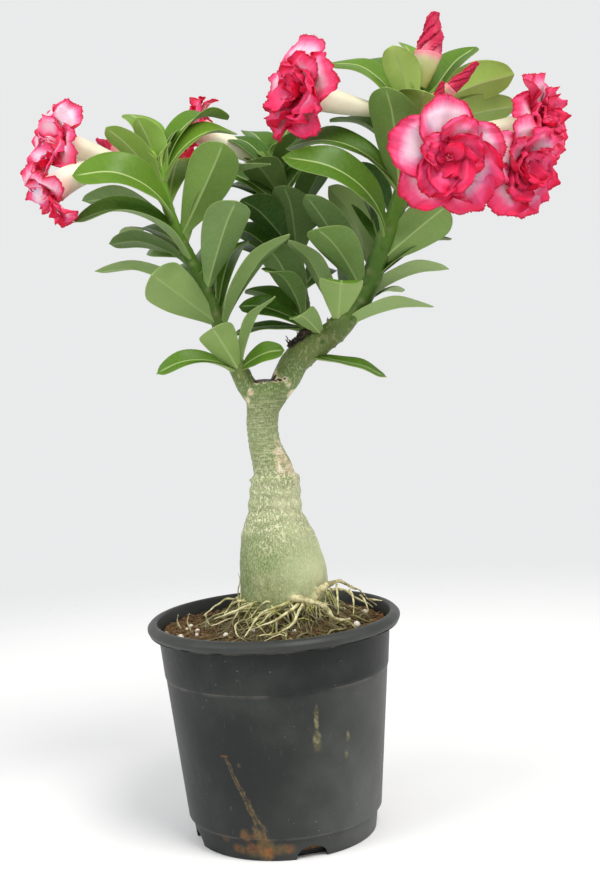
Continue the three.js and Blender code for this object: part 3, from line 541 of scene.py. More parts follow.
def stain(points, marks):
    angle, reach, height = round_pot(points)
    total = np.zeros(len(points))
    for at, middle, half_wide, half_high, lean, strength in marks:
        away = (angle - at + 180) % 360 - 180
        across = np.radians(away) * reach + lean * (height - middle)
        far = np.sqrt((across / half_wide) ** 2 + ((height - middle) / half_high) ** 2)
        total = np.maximum(total, strength * (1 - smooth(far, 0.35, 1.5)))
    return total


def rust_run(points):
    """How many half widths each point is from the middle of the run, and how much of the run is left."""
    angle, reach, height = round_pot(points)
    angles, heights, halves = np.array(RUST_RUN[::-1]).T
    across = np.radians(angle - np.interp(height, heights, angles)) * reach
    left = smooth(height, 14, 20) * (1 - smooth(height, 73, 77))
    return across / np.interp(height, heights, halves), left * (np.abs(angle + 110) < 40)


def dust_and_painted_light(points):
    """A paler film: on the rim, and painted light on the right of the front and near the foot."""
    x, y, height = points.T
    rim = smooth(height, 148.5, 151)
    towards_front = 1 - 0.62 * smooth(y, -50, 10)
    # Painted light: paler on the right of the front, where the lamp lights the pot.
    right = 0.66 * smooth(x, 5, 75) * (1 - smooth(height, 117, 121)) * towards_front
    # Painted light: paler near the foot, where the floor throws light back.
    low = (0.12 + 0.14 * (1 - smooth(height, 10, 60))) * smooth(x, -60, 0) * (1 - smooth(height, 112, 121))
    return right + 0.42 * rim + low


def pot_marks(points):
    """Marks: rust, pale and painted ledge highlights, then how far across the run, how much of it is left,
    and a paler film with painted light.
    """
    _, reach, height = round_pot(points)
    outside = smooth(reach, 60, 63)
    # Painted highlights along the lip and the ledges.
    ledge_highlight = sum(strength * np.exp(-(((height - line) / half) ** 2)) * (reach > start)
                for line, half, strength, start in LEDGE_HIGHLIGHTS)
    across, left = rust_run(points)
    stains_and_highlights = [stain(points, RUST_MARKS) * outside, stain(points, PALE_MARKS) * outside, ledge_highlight]
    run = [across, left * outside, dust_and_painted_light(points) * outside]
    return {"stains_and_highlights": np.stack(stains_and_highlights, -1), "run": np.stack(run, -1)}


print("rust at the left of the foot:", stain(np.array([(-14, -63, 9)], float), RUST_MARKS).round(2))

# %% Pot finish
def dusty_and_lit_plastic(f, cloud, scuff, dust_and_painted_light):
    plastic = f.mix(cloud, (0.004, 0.0055, 0.0055), (0.012, 0.014, 0.0135))
    # The film is cloudy dust, plus the paler rim and the painted light of the third run mark.
    film_and_painted_light = f.plus(f.step(cloud, 0.46, 0.8, 0, 0.26), f.times(dust_and_painted_light, f.step(cloud, 0.2, 0.8, 0.6, 1.4)))
    dusty_and_lit = f.mix(film_and_painted_light, plastic, (0.08, 0.084, 0.078))
    scuffed = f.mix(f.times(scuff, 0.28), dusty_and_lit, (0.13, 0.135, 0.13))
    slanted = f.stretched((1, 0.16, 1), (0.3, 0.7, 0.5))
    scratch = f.step(f.noise(300, 4, slanted, 0.8), 0.66, 0.74)
    scratched = f.mix(f.times(scratch, f.step(cloud, 0.4, 0.6, 0.05, 0.4)), scuffed, (0.22, 0.22, 0.21))
    speck = f.step(f.cells(170), 0.07, 0.03)
    return f.mix(f.times(speck, f.step(cloud, 0.45, 0.65)), scratched, (0.25, 0.25, 0.23))


def with_rust_run(f, under, across, left):
    """The run, dark along its middle, browner at its edges, and worn off in places."""
    side = f.math("ABSOLUTE", f.plus(across, f.step(f.noise(170, 4), 0.3, 0.7, -0.6, 0.6)))
    worn_off = f.step(f.noise(260, 6, None, 0.7), 0.38, 0.62, 0.12, 0.62)
    run = f.times(f.times(f.step(side, 1.9, 0.7), left), worn_off)
    return f.mix(run, under, f.mix(f.step(side, 0.15, 0.9), (0.07, 0.056, 0.028), (0.2, 0.135, 0.056)))


def pot_finish():
    f = Finish("black_nursery_plastic", Specular_IOR_Level=0.24)
    rust, pale, line = f.mark("stains_and_highlights")
    # The third run mark is the paler rim and painted light on the right and near the foot.
    across, left, dust_and_painted_light = f.mark("run")
    cloud = f.noise(16, 5)
    scuff = f.step(f.noise(380, 5, f.stretched((1, 1, 0.2)), 0.75), 0.6, 0.78)
    black = dusty_and_lit_plastic(f, cloud, scuff, dust_and_painted_light)
    ragged = f.plus(f.noise(150, 6, None, 0.7), f.times(f.noise(700, 4), 0.35))
    rust_mask = f.step(f.times(rust, ragged), 0.26, 0.8)
    brown = f.mix(f.step(f.noise(90, 4), 0.4, 0.64), (0.15, 0.105, 0.036), (0.3, 0.105, 0.028))
    rusty = with_rust_run(f, f.mix(f.times(rust_mask, 0.85), black, brown), across, left)
    pale_mask = f.step(f.times(pale, ragged), 0.26, 0.7)
    olive = f.mix(f.step(f.noise(260, 4), 0.42, 0.6), (0.1, 0.088, 0.036), (0.27, 0.24, 0.118))
    marked = f.mix(f.times(pale_mask, 0.62), rusty, olive)
    # Painted highlights along the lip and the ledges, where they catch the light.
    ledge_highlight = f.times(line, f.step(f.noise(60, 5), 0.36, 0.62))
    f.set("Base Color", f.mix(ledge_highlight, marked, (0.24, 0.22, 0.19)))
    worn = f.plus(0.34, f.times(cloud, 0.2))
    f.set("Roughness", f.math("ADD", worn, f.times(rust_mask, 0.3), clamp=True))
    relief = f.bump(scuff, 0.00006, f.bump(f.noise(900, 3), 0.00005))
    f.set("Normal", f.bump(f.noise(45, 3), 0.0005, relief))
    return f.done()


black_plastic = pot_finish()

# %% Make the pot
def cut_drains(pot, finish):
    blocks = []
    for k in range(DRAIN_COUNT):
        angle = DRAIN_FIRST_ANGLE + 360 / DRAIN_COUNT * k
        blocks.append(make_mesh(f"drain_block_{k}", *drain_cutter(angle), finish))
        cut = pot.modifiers.new(f"drain_{k}", "BOOLEAN")
        cut.object = blocks[-1]
        cut.operation = "DIFFERENCE"
        cut.solver = "EXACT"
    apply_modifiers(pot)
    for cutter in blocks:
        bpy.data.objects.remove(cutter)


def make_pot(finish):
    points, faces = lathe(pot_rings(pot_profile()), POT_SIDES)
    pot = make_mesh("pot_shell", points, faces, finish)
    cut_drains(pot, finish)
    set_marks(pot.data, pot_marks(points_of(pot)))
    edges = pot.modifiers.new("crisp_edges", "EDGE_SPLIT")
    edges.split_angle = math.radians(50)
    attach(pot, "root")
    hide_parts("pot")
    print("pot faces after the drains:", len(pot.data.polygons))


make_pot(black_plastic)

# %% [markdown]
# ## The soil
# A nursery mix of coir and peat is a rough, crumbly heap with fibres and white beads in it. The ground
# itself is one lumpy sheet over a plain body. Crumbs, fibres and beads are small closed bodies strewn over
# it. A particle system would strew them too, but plain bodies keep the same place every time and can be
# measured.

# %% Soil ground
SOIL_EDGE_Z, SOIL_HEAP, SOIL_HEAP_INNER, SOIL_HEAP_OUTER, TRUNK_X = 149, 13, 24, 62, 8
SOIL_REACH = 79.6
# How high the lumps and the crumbs of the ground stand.
SOIL_LUMP, SOIL_CRUMB = 2.2, 1.1
SOIL_SIDES, SOIL_RINGS, SOIL_MIDDLE_RINGS = 270, 82, 5
# The plain lower part of the fill, from the bottom up: distance from the axis and height.
SOIL_SKIRT = [(61.2, 5.4), (62.2, FOOT_LEDGE_Z), (67, 18.5)]


def soil_height(x, y):
    """The plain soil, a low heap round the trunk."""
    from_trunk = np.hypot(x - TRUNK_X, y)
    heap = SOIL_HEAP * (1 - smooth(from_trunk, SOIL_HEAP_INNER, SOIL_HEAP_OUTER))
    lumps = 0.7 * np.sin(0.21 * x + 1.3) * np.cos(0.19 * y + 0.4) + 0.5 * np.sin(0.33 * y - 0.12 * x)
    return SOIL_EDGE_Z + heap + lumps


def rough_ground(x, y):
    """The crumbly surface, a little above and below the plain soil."""
    flat = np.stack([x, y, 0 * x], -1)
    lumps = SOIL_LUMP * roughness_of(flat, 0.11, 1, 2) + SOIL_CRUMB * roughness_of(flat, 0.36, 2, 3)
    return soil_height(x, y) + lumps - 0.3


def ground_at(x, y):
    return float(rough_ground(np.array([x]), np.array([y]))[0])


print("ground beside the trunk:", round(ground_at(TRUNK_X + 40, 0), 1), "mm up")

# %% Make the soil
def soil_finish():
    f = Finish("coir_and_peat", Roughness=0.95, Specular_IOR_Level=0.2)
    grain, patch = f.noise(500, 6, None, 0.75), f.noise(70, 4)
    brown = f.mix(f.step(grain, 0.3, 0.7), (0.03, 0.015, 0.007), (0.2, 0.105, 0.045))
    reddish = f.mix(f.step(patch, 0.45, 0.7, 0, 0.6), brown, (0.17, 0.065, 0.025))
    moss, _, _ = f.mark("damp")
    green = f.times(moss, f.step(f.noise(160, 4), 0.45, 0.62))
    f.set("Base Color", f.mix(green, reddish, (0.13, 0.15, 0.035)))
    f.set("Normal", f.bump(grain, 0.0012))
    return f.done()


def make_soil(finish):
    turn = ring_turns(SOIL_SIDES)
    outer, middle = np.linspace(SOIL_REACH, 20, SOIL_RINGS), np.linspace(16, 0.8, SOIL_MIDDLE_RINGS)
    reach = np.append(outer, middle)[:, None]
    x, y = (reach * np.cos(turn)).ravel(), (reach * np.sin(turn)).ravel()
    top = np.stack([x, y, rough_ground(x, y)], -1)
    skirt = [np.stack([r * np.cos(turn), r * np.sin(turn), z + 0 * turn], -1) for r, z in SOIL_SKIRT]
    ends = [(0, 0, SOIL_SKIRT[0][1]), top[-SOIL_SIDES:].mean(0)]
    points = np.vstack([*skirt, top, ends])
    faces = ring_faces(len(SOIL_SKIRT) + len(reach), SOIL_SIDES)
    damp = smooth(-points[:, 1], 10, 50) * smooth(points[:, 0], -50, -10) * (points[:, 2] > 140)
    soil = make_mesh("soil_ground", points, faces, finish, {"damp": np.outer(damp, (1, 0, 0))})
    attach(soil, "root")
    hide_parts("soil")


make_soil(soil_finish())

# %% Small balls and places
# White beads in plain sight: x, y, radius.
SHOWN_BEADS = [
    (-47, 14, 2.6), (-33, -33, 2.6), (-65, -25, 2.4), (-54, -12, 2), (-40, -58, 2.2), (-27, -62, 1.9),
    (12, -70, 2.2), (58, -30, 3), (18, -66, 1.7), (48, -58, 1.6), (-60, 8, 1.8), (66, 20, 2.2),
]
CRUMBS, FIBRES, BEADS = 1900, 1500, 36
# The smallest and largest radius of a crumb, length and radius of a fibre, and radius of a small bead.
CRUMB_RADII, FIBRE_LENGTHS, FIBRE_RADII, BEAD_RADII = (0.6, 2.3), (4, 15), (0.14, 0.34), (0.6, 1.7)


def icosahedron():
    g = (1 + 5**0.5) / 2
    corners = [(-1, g, 0), (1, g, 0), (-1, -g, 0), (1, -g, 0), (0, -1, g), (0, 1, g), (0, -1, -g), (0, 1, -g),
               (g, 0, -1), (g, 0, 1), (-g, 0, -1), (-g, 0, 1)]
    sides = [(0, 11, 5), (0, 5, 1), (0, 1, 7), (0, 7, 10), (0, 10, 11), (1, 5, 9), (5, 11, 4), (11, 10, 2),
             (10, 7, 6), (7, 1, 8), (3, 9, 4), (3, 4, 2), (3, 2, 6), (3, 6, 8), (3, 8, 9), (4, 9, 5),
             (2, 4, 11), (6, 2, 10), (8, 6, 7), (9, 8, 1)]
    return unit(np.array(corners, float)), sides


def finer(points, faces):
    """Each triangle split in four, pushed out to a ball."""
    points, middle, made = [tuple(p) for p in points], {}, []
    for a, b, c in faces:
        for pair in ((a, b), (b, c), (c, a)):
            key = tuple(sorted(pair))
            if key not in middle:
                middle[key] = len(points)
                points.append(tuple((np.array(points[key[0]]) + np.array(points[key[1]])) / 2))
        ab, bc, ca = (middle[tuple(sorted(p))] for p in ((a, b), (b, c), (c, a)))
        made += [(a, ab, ca), (ab, b, bc), (ca, bc, c), (ab, bc, ca)]
    return unit(np.array(points)), made


def strewn(rng, count):
    """Random places on the soil, clear of the wall."""
    reach = (SOIL_REACH - 3) * np.sqrt(rng.uniform(0.02, 1, count))
    turn = rng.uniform(0, TURN, count)
    return reach * np.cos(turn), reach * np.sin(turn)


print("strewn:", CRUMBS, "crumbs,", FIBRES, "fibres,", BEADS + len(SHOWN_BEADS), "beads")

# %% Crumbs and fibres
def litter_finish():
    f = Finish("crumbs_and_fibres", Roughness=0.9, Specular_IOR_Level=0.25)
    light, red, _ = f.mark("tone")
    dark = f.mix(red, (0.045, 0.023, 0.012), (0.13, 0.05, 0.02))
    shade = f.mix(light, dark, (0.4, 0.27, 0.12))
    f.set("Base Color", f.mix(f.noise(800, 3), shade, (0.09, 0.055, 0.03)))
    f.set("Normal", f.bump(f.noise(1500, 3), 0.0003))
    return f.done()


def crumbs(rng):
    ball, sides = icosahedron()
    for x, y in zip(*strewn(rng, CRUMBS)):
        size = rng.uniform(*CRUMB_RADII)
        lump = ball * size * rng.uniform(0.55, 1.1, (12, 1)) * (1, 1, 0.7)
        tone = (rng.uniform(0, 1) ** 2, rng.uniform(0, 1), 0)
        yield lump + (x, y, ground_at(x, y) + 0.2 * size), sides, tone


def fibres(rng):
    for x, y in zip(*strewn(rng, FIBRES)):
        length, turn = rng.uniform(*FIBRE_LENGTHS), rng.uniform(0, TURN)
        step = np.array([math.cos(turn), math.sin(turn), 0]) * length / 4
        way = np.array([x, y, 0]) + step * np.arange(5)[:, None]
        way[:, :2] += rng.normal(0, 0.9, (5, 2))
        inside = np.minimum(1, (SOIL_REACH - 2) / np.maximum(np.hypot(way[:, 0], way[:, 1]), 1))
        way[:, :2] *= inside[:, None]
        way[:, 2] = rough_ground(way[:, 0], way[:, 1]) + rng.uniform(0.1, 0.6)
        way[1:4, 2] += rng.uniform(0, 1.6, 3)
        centres, directions = curve_at(way, evenly(6))
        radii = rng.uniform(*FIBRE_RADII) * np.array([0.6, 1, 1, 0.9, 0.7, 0.3])
        points, faces = tube_body(centres, directions, radii, 3)
        yield points, faces, (rng.uniform(0.25, 1), rng.uniform(0, 0.6), 0)


def make_litter():
    rng = np.random.default_rng(11)
    litter = Collector()
    for points, faces, tone in [*crumbs(rng), *fibres(rng)]:
        litter.add(points, faces, tone=tone)
    piece = litter.mesh("soil_litter", litter_finish())
    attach(piece, "root")


make_litter()

# %% Beads
def bead_finish():
    f = Finish("white_beads", Roughness=0.85)
    f.set("Base Color", f.mix(f.noise(600, 4), (0.6, 0.53, 0.42), (0.84, 0.8, 0.72)))
    f.set("Normal", f.bump(f.noise(1300, 4), 0.0005))
    return f.done()


def make_beads():
    rng = np.random.default_rng(5)
    beads = Collector()
    ball, sides = finer(*icosahedron())
    small = [(x, y, rng.uniform(*BEAD_RADII)) for x, y in zip(*strewn(rng, BEADS))]
    for x, y, radius in SHOWN_BEADS + small:
        stretch = rng.uniform(0.8, 1.15, 3)
        lump = ball * radius * stretch * (1 + 0.16 * roughness_of(ball, 1.7, x + 0.1 * y, 2))[:, None]
        beads.add(lump + (x, y, ground_at(x, y) + 0.6 * radius), sides)
    piece = beads.mesh("soil_beads", bead_finish())
    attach(piece, "root")


make_beads()

# %% [markdown]
# ## The trunk
# A desert rose stores water in a swollen foot, the caudex. This one has a broad flask of a foot, a ledge
# where it narrows, a pinched, wrinkled neck with green bands, and a dark torn stub in the fork of its two
# arms. Trunk, arms and the thickest roots grew as one. Sculpting would join them, but it leaves nothing to
# measure. So their tubes are merged by a voxel remesh, which rounds the joints as growth does, and the skin
# is then pushed into wrinkles.

# %% Trunk and root rows
# Trunk: height, x of its centre, radius.
TRUNK = [
    (100, 8, 5), (118, 8, 14), (135, 8, 24), (150, 8, 28.8), (166, 8, 30.6), (180, 8.5, 31.2),
    (193, 8.2, 30.2), (208, 7, 27.4), (217, 6.2, 25.2), (223, 5.4, 22.6), (229, 5.8, 19.7),
    (240, 6.2, 18.2), (254.5, 7.4, 17.2), (258, 6.6, 14.4), (264, 5.6, 13.8), (272, 3.4, 12.6),
    (282, 0.9, 11.1), (296, 0.7, 11.2), (308, 2.5, 12.6), (318, 5, 14.6), (324, 6.5, 14.2),
]
# Each root: its way over the soil, then its radius at the start and at the tip.
ROOTS = [
    ([(10, -24, 174), (20, -35, 173), (32, -40, 171), (43, -44, 162), (54, -41, 158)], 2.7, 2),
    ([(28, -22, 168), (35, -24, 177), (41, -20, 181), (47, -16, 180), (56, -12, 175), (64, -8, 169),
      (75, -6, 158)], 3.2, 1.3),
    ([(46, -17, 179), (46, -26, 170), (45, -34, 161)], 1.2, 0.9),
    ([(55, -12, 174), (57, -20, 168), (56, -26, 159)], 1.2, 0.9),
    ([(62, -9, 169), (65, -14, 166), (67, -18, 159)], 1.1, 0.9),
    ([(68, -7, 165), (74, -2, 163), (78, 3, 162)], 1.1, 0.8),
    ([(16, -26, 171), (6, -38, 171), (-4, -45, 169), (-12, -53, 164), (-19, -64, 156)], 1.8, 1.2),
    ([(13, -26, 172), (2, -42, 168), (-9, -53, 162)], 1.5, 1),
    ([(20, -33, 171), (3, -50, 164), (-16, -60, 160)], 1.7, 1),
    ([(22, -36, 171), (13, -52, 160), (2, -60, 157), (-10, -61, 156)], 1.7, 1),
    ([(-14, -14, 170), (-26, -20, 172), (-33, -30, 166)], 1.5, 1),
    ([(-12, -18, 170), (-26, -36, 168), (-40, -36, 164)], 1.6, 1),
    ([(-16, 6, 168), (-34, 8, 168), (-50, -4, 160)], 1.7, 1),
    ([(34, 10, 168), (48, 20, 168), (62, 22, 160), (72, 14, 155)], 2.2, 1.1),
    ([(18, 26, 170), (26, 42, 168), (22, 60, 158)], 2, 1.1),
    ([(-8, 22, 170), (-22, 38, 166), (-34, 52, 156)], 1.9, 1),
]
ROOT_LIFT = 1.2
# Roots thicker than this are one skin with the trunk.
MERGED_ROOT = 2.5
print("trunk rows:", len(TRUNK), "roots:", len(ROOTS))

# %% Shoot rows
# The way of each limb from the trunk to its tip, its radii, and how many stretches of it are bare.
SHOOTS = {
    "left": {
        "points": [(3, 0, 303), (-5, -1, 316), (-11, -2, 327), (-22, -5, 355), (-32, -9, 389),
                   (-45, -13, 420), (-54, -17, 447), (-57, -20, 476)],
        "radii": [7, 8, 6.6, 5.4, 4.6, 4.2, 3.8, 2.6],
        "arm": 2,
    },
    "right": {
        "points": [(6, 0, 304), (19, 0.5, 324), (28.5, 2, 338), (45, 3, 349), (56, 3, 356), (67, 2, 368),
                   (79, 0, 383), (90, -3, 408), (102, -6, 435), (110, -8, 460), (116, -8, 490),
                   (119, -8, 514)],
        "radii": [7, 10.2, 9.9, 9.4, 8.8, 8.4, 7.6, 6.8, 6, 5.2, 4.4, 3],
        "arm": 2,
    },
    "middle": {
        "points": [(36, 11, 354.5), (35, 17, 366), (33, 30, 393), (31, 42, 429), (23, 50, 459),
                   (17, 52, 477)],
        "radii": [5.6, 5.2, 4.8, 4.2, 3.6, 2.6],
        "arm": 0,
    },
}
# The gap between neighbouring solids.
GAP = 0.3


def arm_share(name):
    """How far up a limb its bare arm goes."""
    return SHOOTS[name]["arm"] / (len(SHOOTS[name]["points"]) - 1)


def green_share(name, place):
    """How far up the whole limb a place on its green part is."""
    return arm_share(name) + place * (1 - arm_share(name))


def on_limb(name, share):
    """A place on a limb, and the way it grows there."""
    return (v[0] for v in curve_at(SHOOTS[name]["points"], share))


print("bare shares of the limbs:", {name: round(arm_share(name), 2) for name in SHOOTS})

# %% [markdown]
# ## The bark
# The bark is grey green, leafier at the foot and on the neck, and paler to the right, which is painted light
# from the lamp on that side. A fine net of pale ridges covers its upper half, level wrinkles ring the neck,
# and scars show tan, or dark as cork where they are deep. The net is one noise cut off at its middle, which
# costs less than cells and has no straight lines in it.

# %% Bark finish
def bark_greens(f, green, light):
    patch = f.noise(34, 4)
    grey = f.mix(patch, (0.195, 0.25, 0.1), (0.35, 0.41, 0.195))
    leafy = f.mix(patch, (0.08, 0.132, 0.027), (0.16, 0.228, 0.058))
    # The light mark paints the right side paler: painted light, with random pale patches.
    return f.mix(green, f.mix(f.times(light, 0.85), grey, (0.56, 0.6, 0.345)), leafy)


def with_net(f, under, tall, maze, ridges, net, neck):
    drawn = f.mix(f.times(ridges, f.times(net, 0.7)), under, (0.68, 0.66, 0.42))
    groove = f.times(f.step(maze, 0.44, 0.36), f.times(net, 0.55))
    grooved = f.mix(groove, drawn, (0.17, 0.18, 0.08))
    dots = f.step(f.noise(900, 3, tall, 0.6), 0.5, 0.62)
    return f.mix(f.times(dots, f.minus(0.4, f.times(neck, 0.25))), grooved, (0.56, 0.57, 0.36))


def with_scars(f, under, scar):
    flaking = f.times(scar, f.step(f.noise(210, 5), 0.3, 0.62, 0.3, 1))
    tan = f.mix(f.step(f.noise(330, 5), 0.36, 0.64), (0.64, 0.44, 0.25), (0.86, 0.79, 0.6))
    scarred = f.mix(f.step(flaking, 0.12, 0.75, 0, 0.8), under, tan)
    corky = f.mix(f.noise(500, 4), (0.012, 0.009, 0.007), (0.1, 0.05, 0.03))
    return f.mix(f.step(scar, 1.2, 1.7), scarred, corky)


def bark_finish():
    f = Finish("green_bark", Specular_IOR_Level=0.4)
    green, scar, net = f.mark("bark")
    # The second bark mark is painted light on the right, with random pale patches.
    neck, light, root = f.mark("bark_more")
    tall = f.stretched((1, 1, 0.55))
    maze = f.noise(540, 2.5, tall, 0.5, 1.5)
    ridges = f.step(maze, 0.47, 0.56)
    netted = with_net(f, bark_greens(f, green, light), tall, maze, ridges, net, neck)
    level = f.noise(330, 3, f.stretched((0.22, 0.22, 2)), 0.5, 0.5)
    wrinkle = f.times(f.step(level, 0.5, 0.58), f.times(neck, 0.42))
    burnt = with_scars(f, f.mix(wrinkle, netted, (0.48, 0.48, 0.27)), scar)
    cream = f.mix(f.step(f.noise(190, 5), 0.34, 0.62), (0.24, 0.21, 0.08), (0.66, 0.6, 0.34))
    soiled = f.mix(f.step(f.noise(520, 5), 0.54, 0.7, 0, 0.7), cream, (0.13, 0.1, 0.04))
    f.set("Base Color", f.mix(root, burnt, soiled))
    f.set("Roughness", f.step(f.noise(120, 3), 0.3, 0.7, 0.48, 0.72))
    fine = f.bump(f.noise(900, 4), 0.00018)
    relief = f.bump(f.times(ridges, net), 0.0005, fine)
    f.set("Normal", f.bump(f.times(f.step(level, 0.46, 0.58), neck), 0.0004, relief))
    return f.done()


bark = bark_finish()

# %% Trunk shape
TRUNK_SIDES, ARM_SIDES = 64, 28
# How far a bare arm goes on inside the green stem, as a share of the limb.
ARM_OVERLAP = 0.012
# The grid of the remesh, in millimetres. A finer one keeps more, at the cost of triangles.
BARK_VOXEL = 0.97


def trunk_body():
    rows = np.array(TRUNK, float)
    stretches = [np.linspace(a[0], b[0], 5)[:-1] for a, b in zip(rows, rows[1:])]
    height = np.concatenate([*stretches, [rows[-1][0]]])
    share = np.interp(height, rows[:, 0], evenly(len(rows)))
    smooth_rows, _ = curve_at(rows, share)
    turn = ring_turns(TRUNK_SIDES)
    z = height[:, None]
    uneven = 1 + 0.02 * np.sin(3 * turn + z / 25) + 0.012 * np.sin(5 * turn - z / 14)
    centres = np.stack([smooth_rows[:, 1], 0 * height, height], -1)
    upright_rows = np.tile([0, 0, 1], (len(height), 1))
    return tube_body(centres, upright_rows, smooth_rows[:, 2], TRUNK_SIDES, (1, 0, 0), uneven)


def arm_body(name):
    """A bare arm, carried on inside the green stem, so that no seam gapes."""
    row = SHOOTS[name]
    end = arm_share(name)
    share = np.linspace(0, end + ARM_OVERLAP, 16)
    centres, directions = curve_at(row["points"], share)
    taper = 1 - 0.12 * smooth(share, end - 0.004, end + ARM_OVERLAP)
    radii = along(row["radii"][: row["arm"] + 1], share / end) * taper
    return tube_body(centres, directions, radii, ARM_SIDES, (0, -1, 0))


def resting_root(points, start, end):
    way = np.array(points, float)
    radius = np.linspace(start, end, len(way))
    way[:, 2] = np.maximum(way[:, 2], soil_height(way[:, 0], way[:, 1]) + radius + ROOT_LIFT)
    return way


def root_body(points, start, end, steps, sides, seed):
    share = evenly(steps)
    centres, directions = curve_at(points, share)
    centres = centres + wander_of(centres, 0.09, seed) * smooth(share, 0, 0.15)[:, None] * 0.7 * start
    radii = along([start, (start + end) / 2, end, 0.55 * end], share)
    radii = radii * (1 + 0.22 * roughness_of(centres, 0.35, seed + 5, 2))
    radii[-1] *= 0.45
    return tube_body(centres, directions, radii, sides)


def merge_bodies(name, bodies, voxel, finish):
    """One body with rounded joints from several that cross."""
    parts = Collector()
    for points, faces in bodies:
        parts.add(points, faces)
    piece = parts.mesh(name, finish)
    melt = piece.modifiers.new("melt", "REMESH")
    melt.mode = "VOXEL"
    melt.voxel_size = voxel * MM
    ease = piece.modifiers.new("ease", "SMOOTH")
    ease.factor = 0.5
    ease.iterations = 6
    return apply_modifiers(piece)


print("points of the trunk before it is merged:", len(trunk_body()[0]))

# %% Wrinkles and scars
def wrinkle_trunk(p):
    """How far lumps, fine skin, folds at the neck, bands and the ledge push each point out."""
    z = p[:, 2]
    lumps = 0.8 * roughness_of(p * (1, 1, 0.7), 0.055, 3, 2)
    skin = 0.2 * roughness_of(p * (1, 1, 0.45), 0.5, 4, 3)
    waist = smooth(z, 256, 264) * (1 - smooth(z, 300, 316))
    drift = 3.2 * roughness_of(p * (1, 1, 0.5), 0.045, 8, 1)
    folds = np.sin(1.5 * z + drift) * (0.5 + 0.5 * np.clip(2 * roughness_of(p, 0.08, 12, 1), -1, 1))
    bands = np.sin(0.62 * z + 1.4 * drift) * smooth(z, 205, 225) * (1 - smooth(z, 250, 254))
    rim = np.exp(-(((z - 254.5) / 1.8) ** 2)) * (0.5 + 1.5 * roughness_of(p, 0.22, 14, 3))
    return lumps + skin + 0.34 * folds * waist + 0.4 * bands + 0.9 * rim


# Scars on the bark: x, y, z, reach and strength. Strength over 1 turns black.
SCARS = [
    (6, 0, 325, 11, 1.5), (-5, -8, 317, 4, 0.7), (20, -7, 322, 4, 0.8), (22, -3, 314, 5, 0.8),
    (13, -9, 272, 8, 0.8), (19, -6, 260, 8, 0.85), (14, -9, 281, 6, 0.6), (14, -12, 264, 7, 0.8),
    (-8, -6, 311, 4, 0.6), (12, 10, 316, 5, 0.8), (23, -8, 253, 7, 0.5), (4, -11, 306, 3, 0.45),
    (10, -10, 300, 2.5, 0.4), (39, -1, 172, 9, 0.35),
]
# How green the trunk grows above its ledge: height, then how much greener than the foot.
NECK_GREENS = [(240, 0), (256, 0.05), (267, 0.34), (286, 0.2), (305, 0.74), (326, 0.7)]
# The torn stub in the fork: x of its middle, how far it reaches, and its strength.
STUB_X, STUB_REACH, STUB_STRENGTH = 4.5, (11.5, 15.5), 2.1


def scar_marks(p):
    """Round scars, and a ragged band at the top of the stub."""
    x, y, z = p.T
    scar = np.zeros(len(p))
    for *place, reach, strength in SCARS:
        far = np.linalg.norm(p - place, axis=1) / reach
        scar = np.maximum(scar, strength * (1 - smooth(far, 0.5, 1.25)))
    uneven = roughness_of(p, 0.35, 21, 2)
    torn = smooth(z + 1.6 * uneven, 322.2, 323.4) * (1 - smooth(z - 3.5 * uneven, 324.6, 325.8))
    aside = np.hypot(x - STUB_X, y) + 7 * roughness_of(p, 0.2, 22, 2)
    return np.maximum(scar, STUB_STRENGTH * torn * (1 - smooth(aside, *STUB_REACH)))


def bark_marks(p):
    """Marks: green, scar and net, then neck wrinkles, pale patches with painted light on the right, and root
    skin.
    """
    x, y, z = p.T
    lows = smooth(-x - 0.2 * y, -22, 14) * (1 - smooth(z, 200, 226))
    upper = np.interp(z, *zip(*NECK_GREENS))
    foot = 1 - smooth(z, 170, 188)
    green = np.clip(0.2 + 0.62 * lows + 0.4 * foot + upper + 0.35 * roughness_of(p, 0.03, 6, 2), 0, 1)
    net = smooth(z, 198, 226) * (1 - 0.75 * smooth(z, 256, 262)) * (0.75 + 0.9 * roughness_of(p, 0.05, 21, 2))
    net = np.clip(net + 0.22, 0.1, 1) * (1 - smooth(z, 300, 320))
    neck = smooth(z, 254, 262) * (1 - smooth(z, 306, 320))
    # Painted light: paler on the right below the neck, where the lamp lights the bark, with random pale
    # patches.
    light = smooth(x - 0.3 * y, 0, 26) * (1 - smooth(z, 236, 262)) + 0.3 * roughness_of(p, 0.06, 9, 2)
    return np.stack([green, scar_marks(p), net], -1), np.stack([neck, np.clip(light, 0, 1), 0 * z], -1)


print("scars:", len(SCARS))

# %% Make the trunk
def merged_trunk(finish):
    bodies = [trunk_body(), arm_body("left"), arm_body("right")]
    for k, (points, start, end) in enumerate(ROOTS):
        if start > MERGED_ROOT:
            bodies.append(root_body(resting_root(points, start, end), start, end, 30, 14, k))
    return merge_bodies("caudex_bark", bodies, BARK_VOXEL, finish)


def make_caudex(finish):
    trunk = merged_trunk(finish)
    places = points_of(trunk)
    normals = np.array([v.normal[:] for v in trunk.data.vertices])
    on_root = smooth(np.hypot(places[:, 0] - TRUNK_X, places[:, 1]), 30, 35)
    push = wrinkle_trunk(places) * (1 - 0.8 * on_root)
    places = places + normals * push[:, None]
    trunk.data.vertices.foreach_set("co", (places * MM).ravel())
    marks, more = bark_marks(places)
    marks[:, 0] *= 1 - on_root
    more[:, 2] = on_root * (1 - smooth(places[:, 2], 200, 215))
    set_marks(trunk.data, {"bark": marks, "bark_more": more})
    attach(trunk, "root")
    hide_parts("caudex")
    print("bark faces:", len(trunk.data.polygons))


make_caudex(bark)

# %% [markdown]
# ## Fine roots
# Rain has washed the top of the soil away, so a mat of thin pale roots lies bare round the foot. The main
# ones follow the solid model. Between them run many threads. Hair curves would be quick to strew, but a
# seeded random walk over the ground gives the right tangle, and each thread can be a closed body that rests
# on the soil.

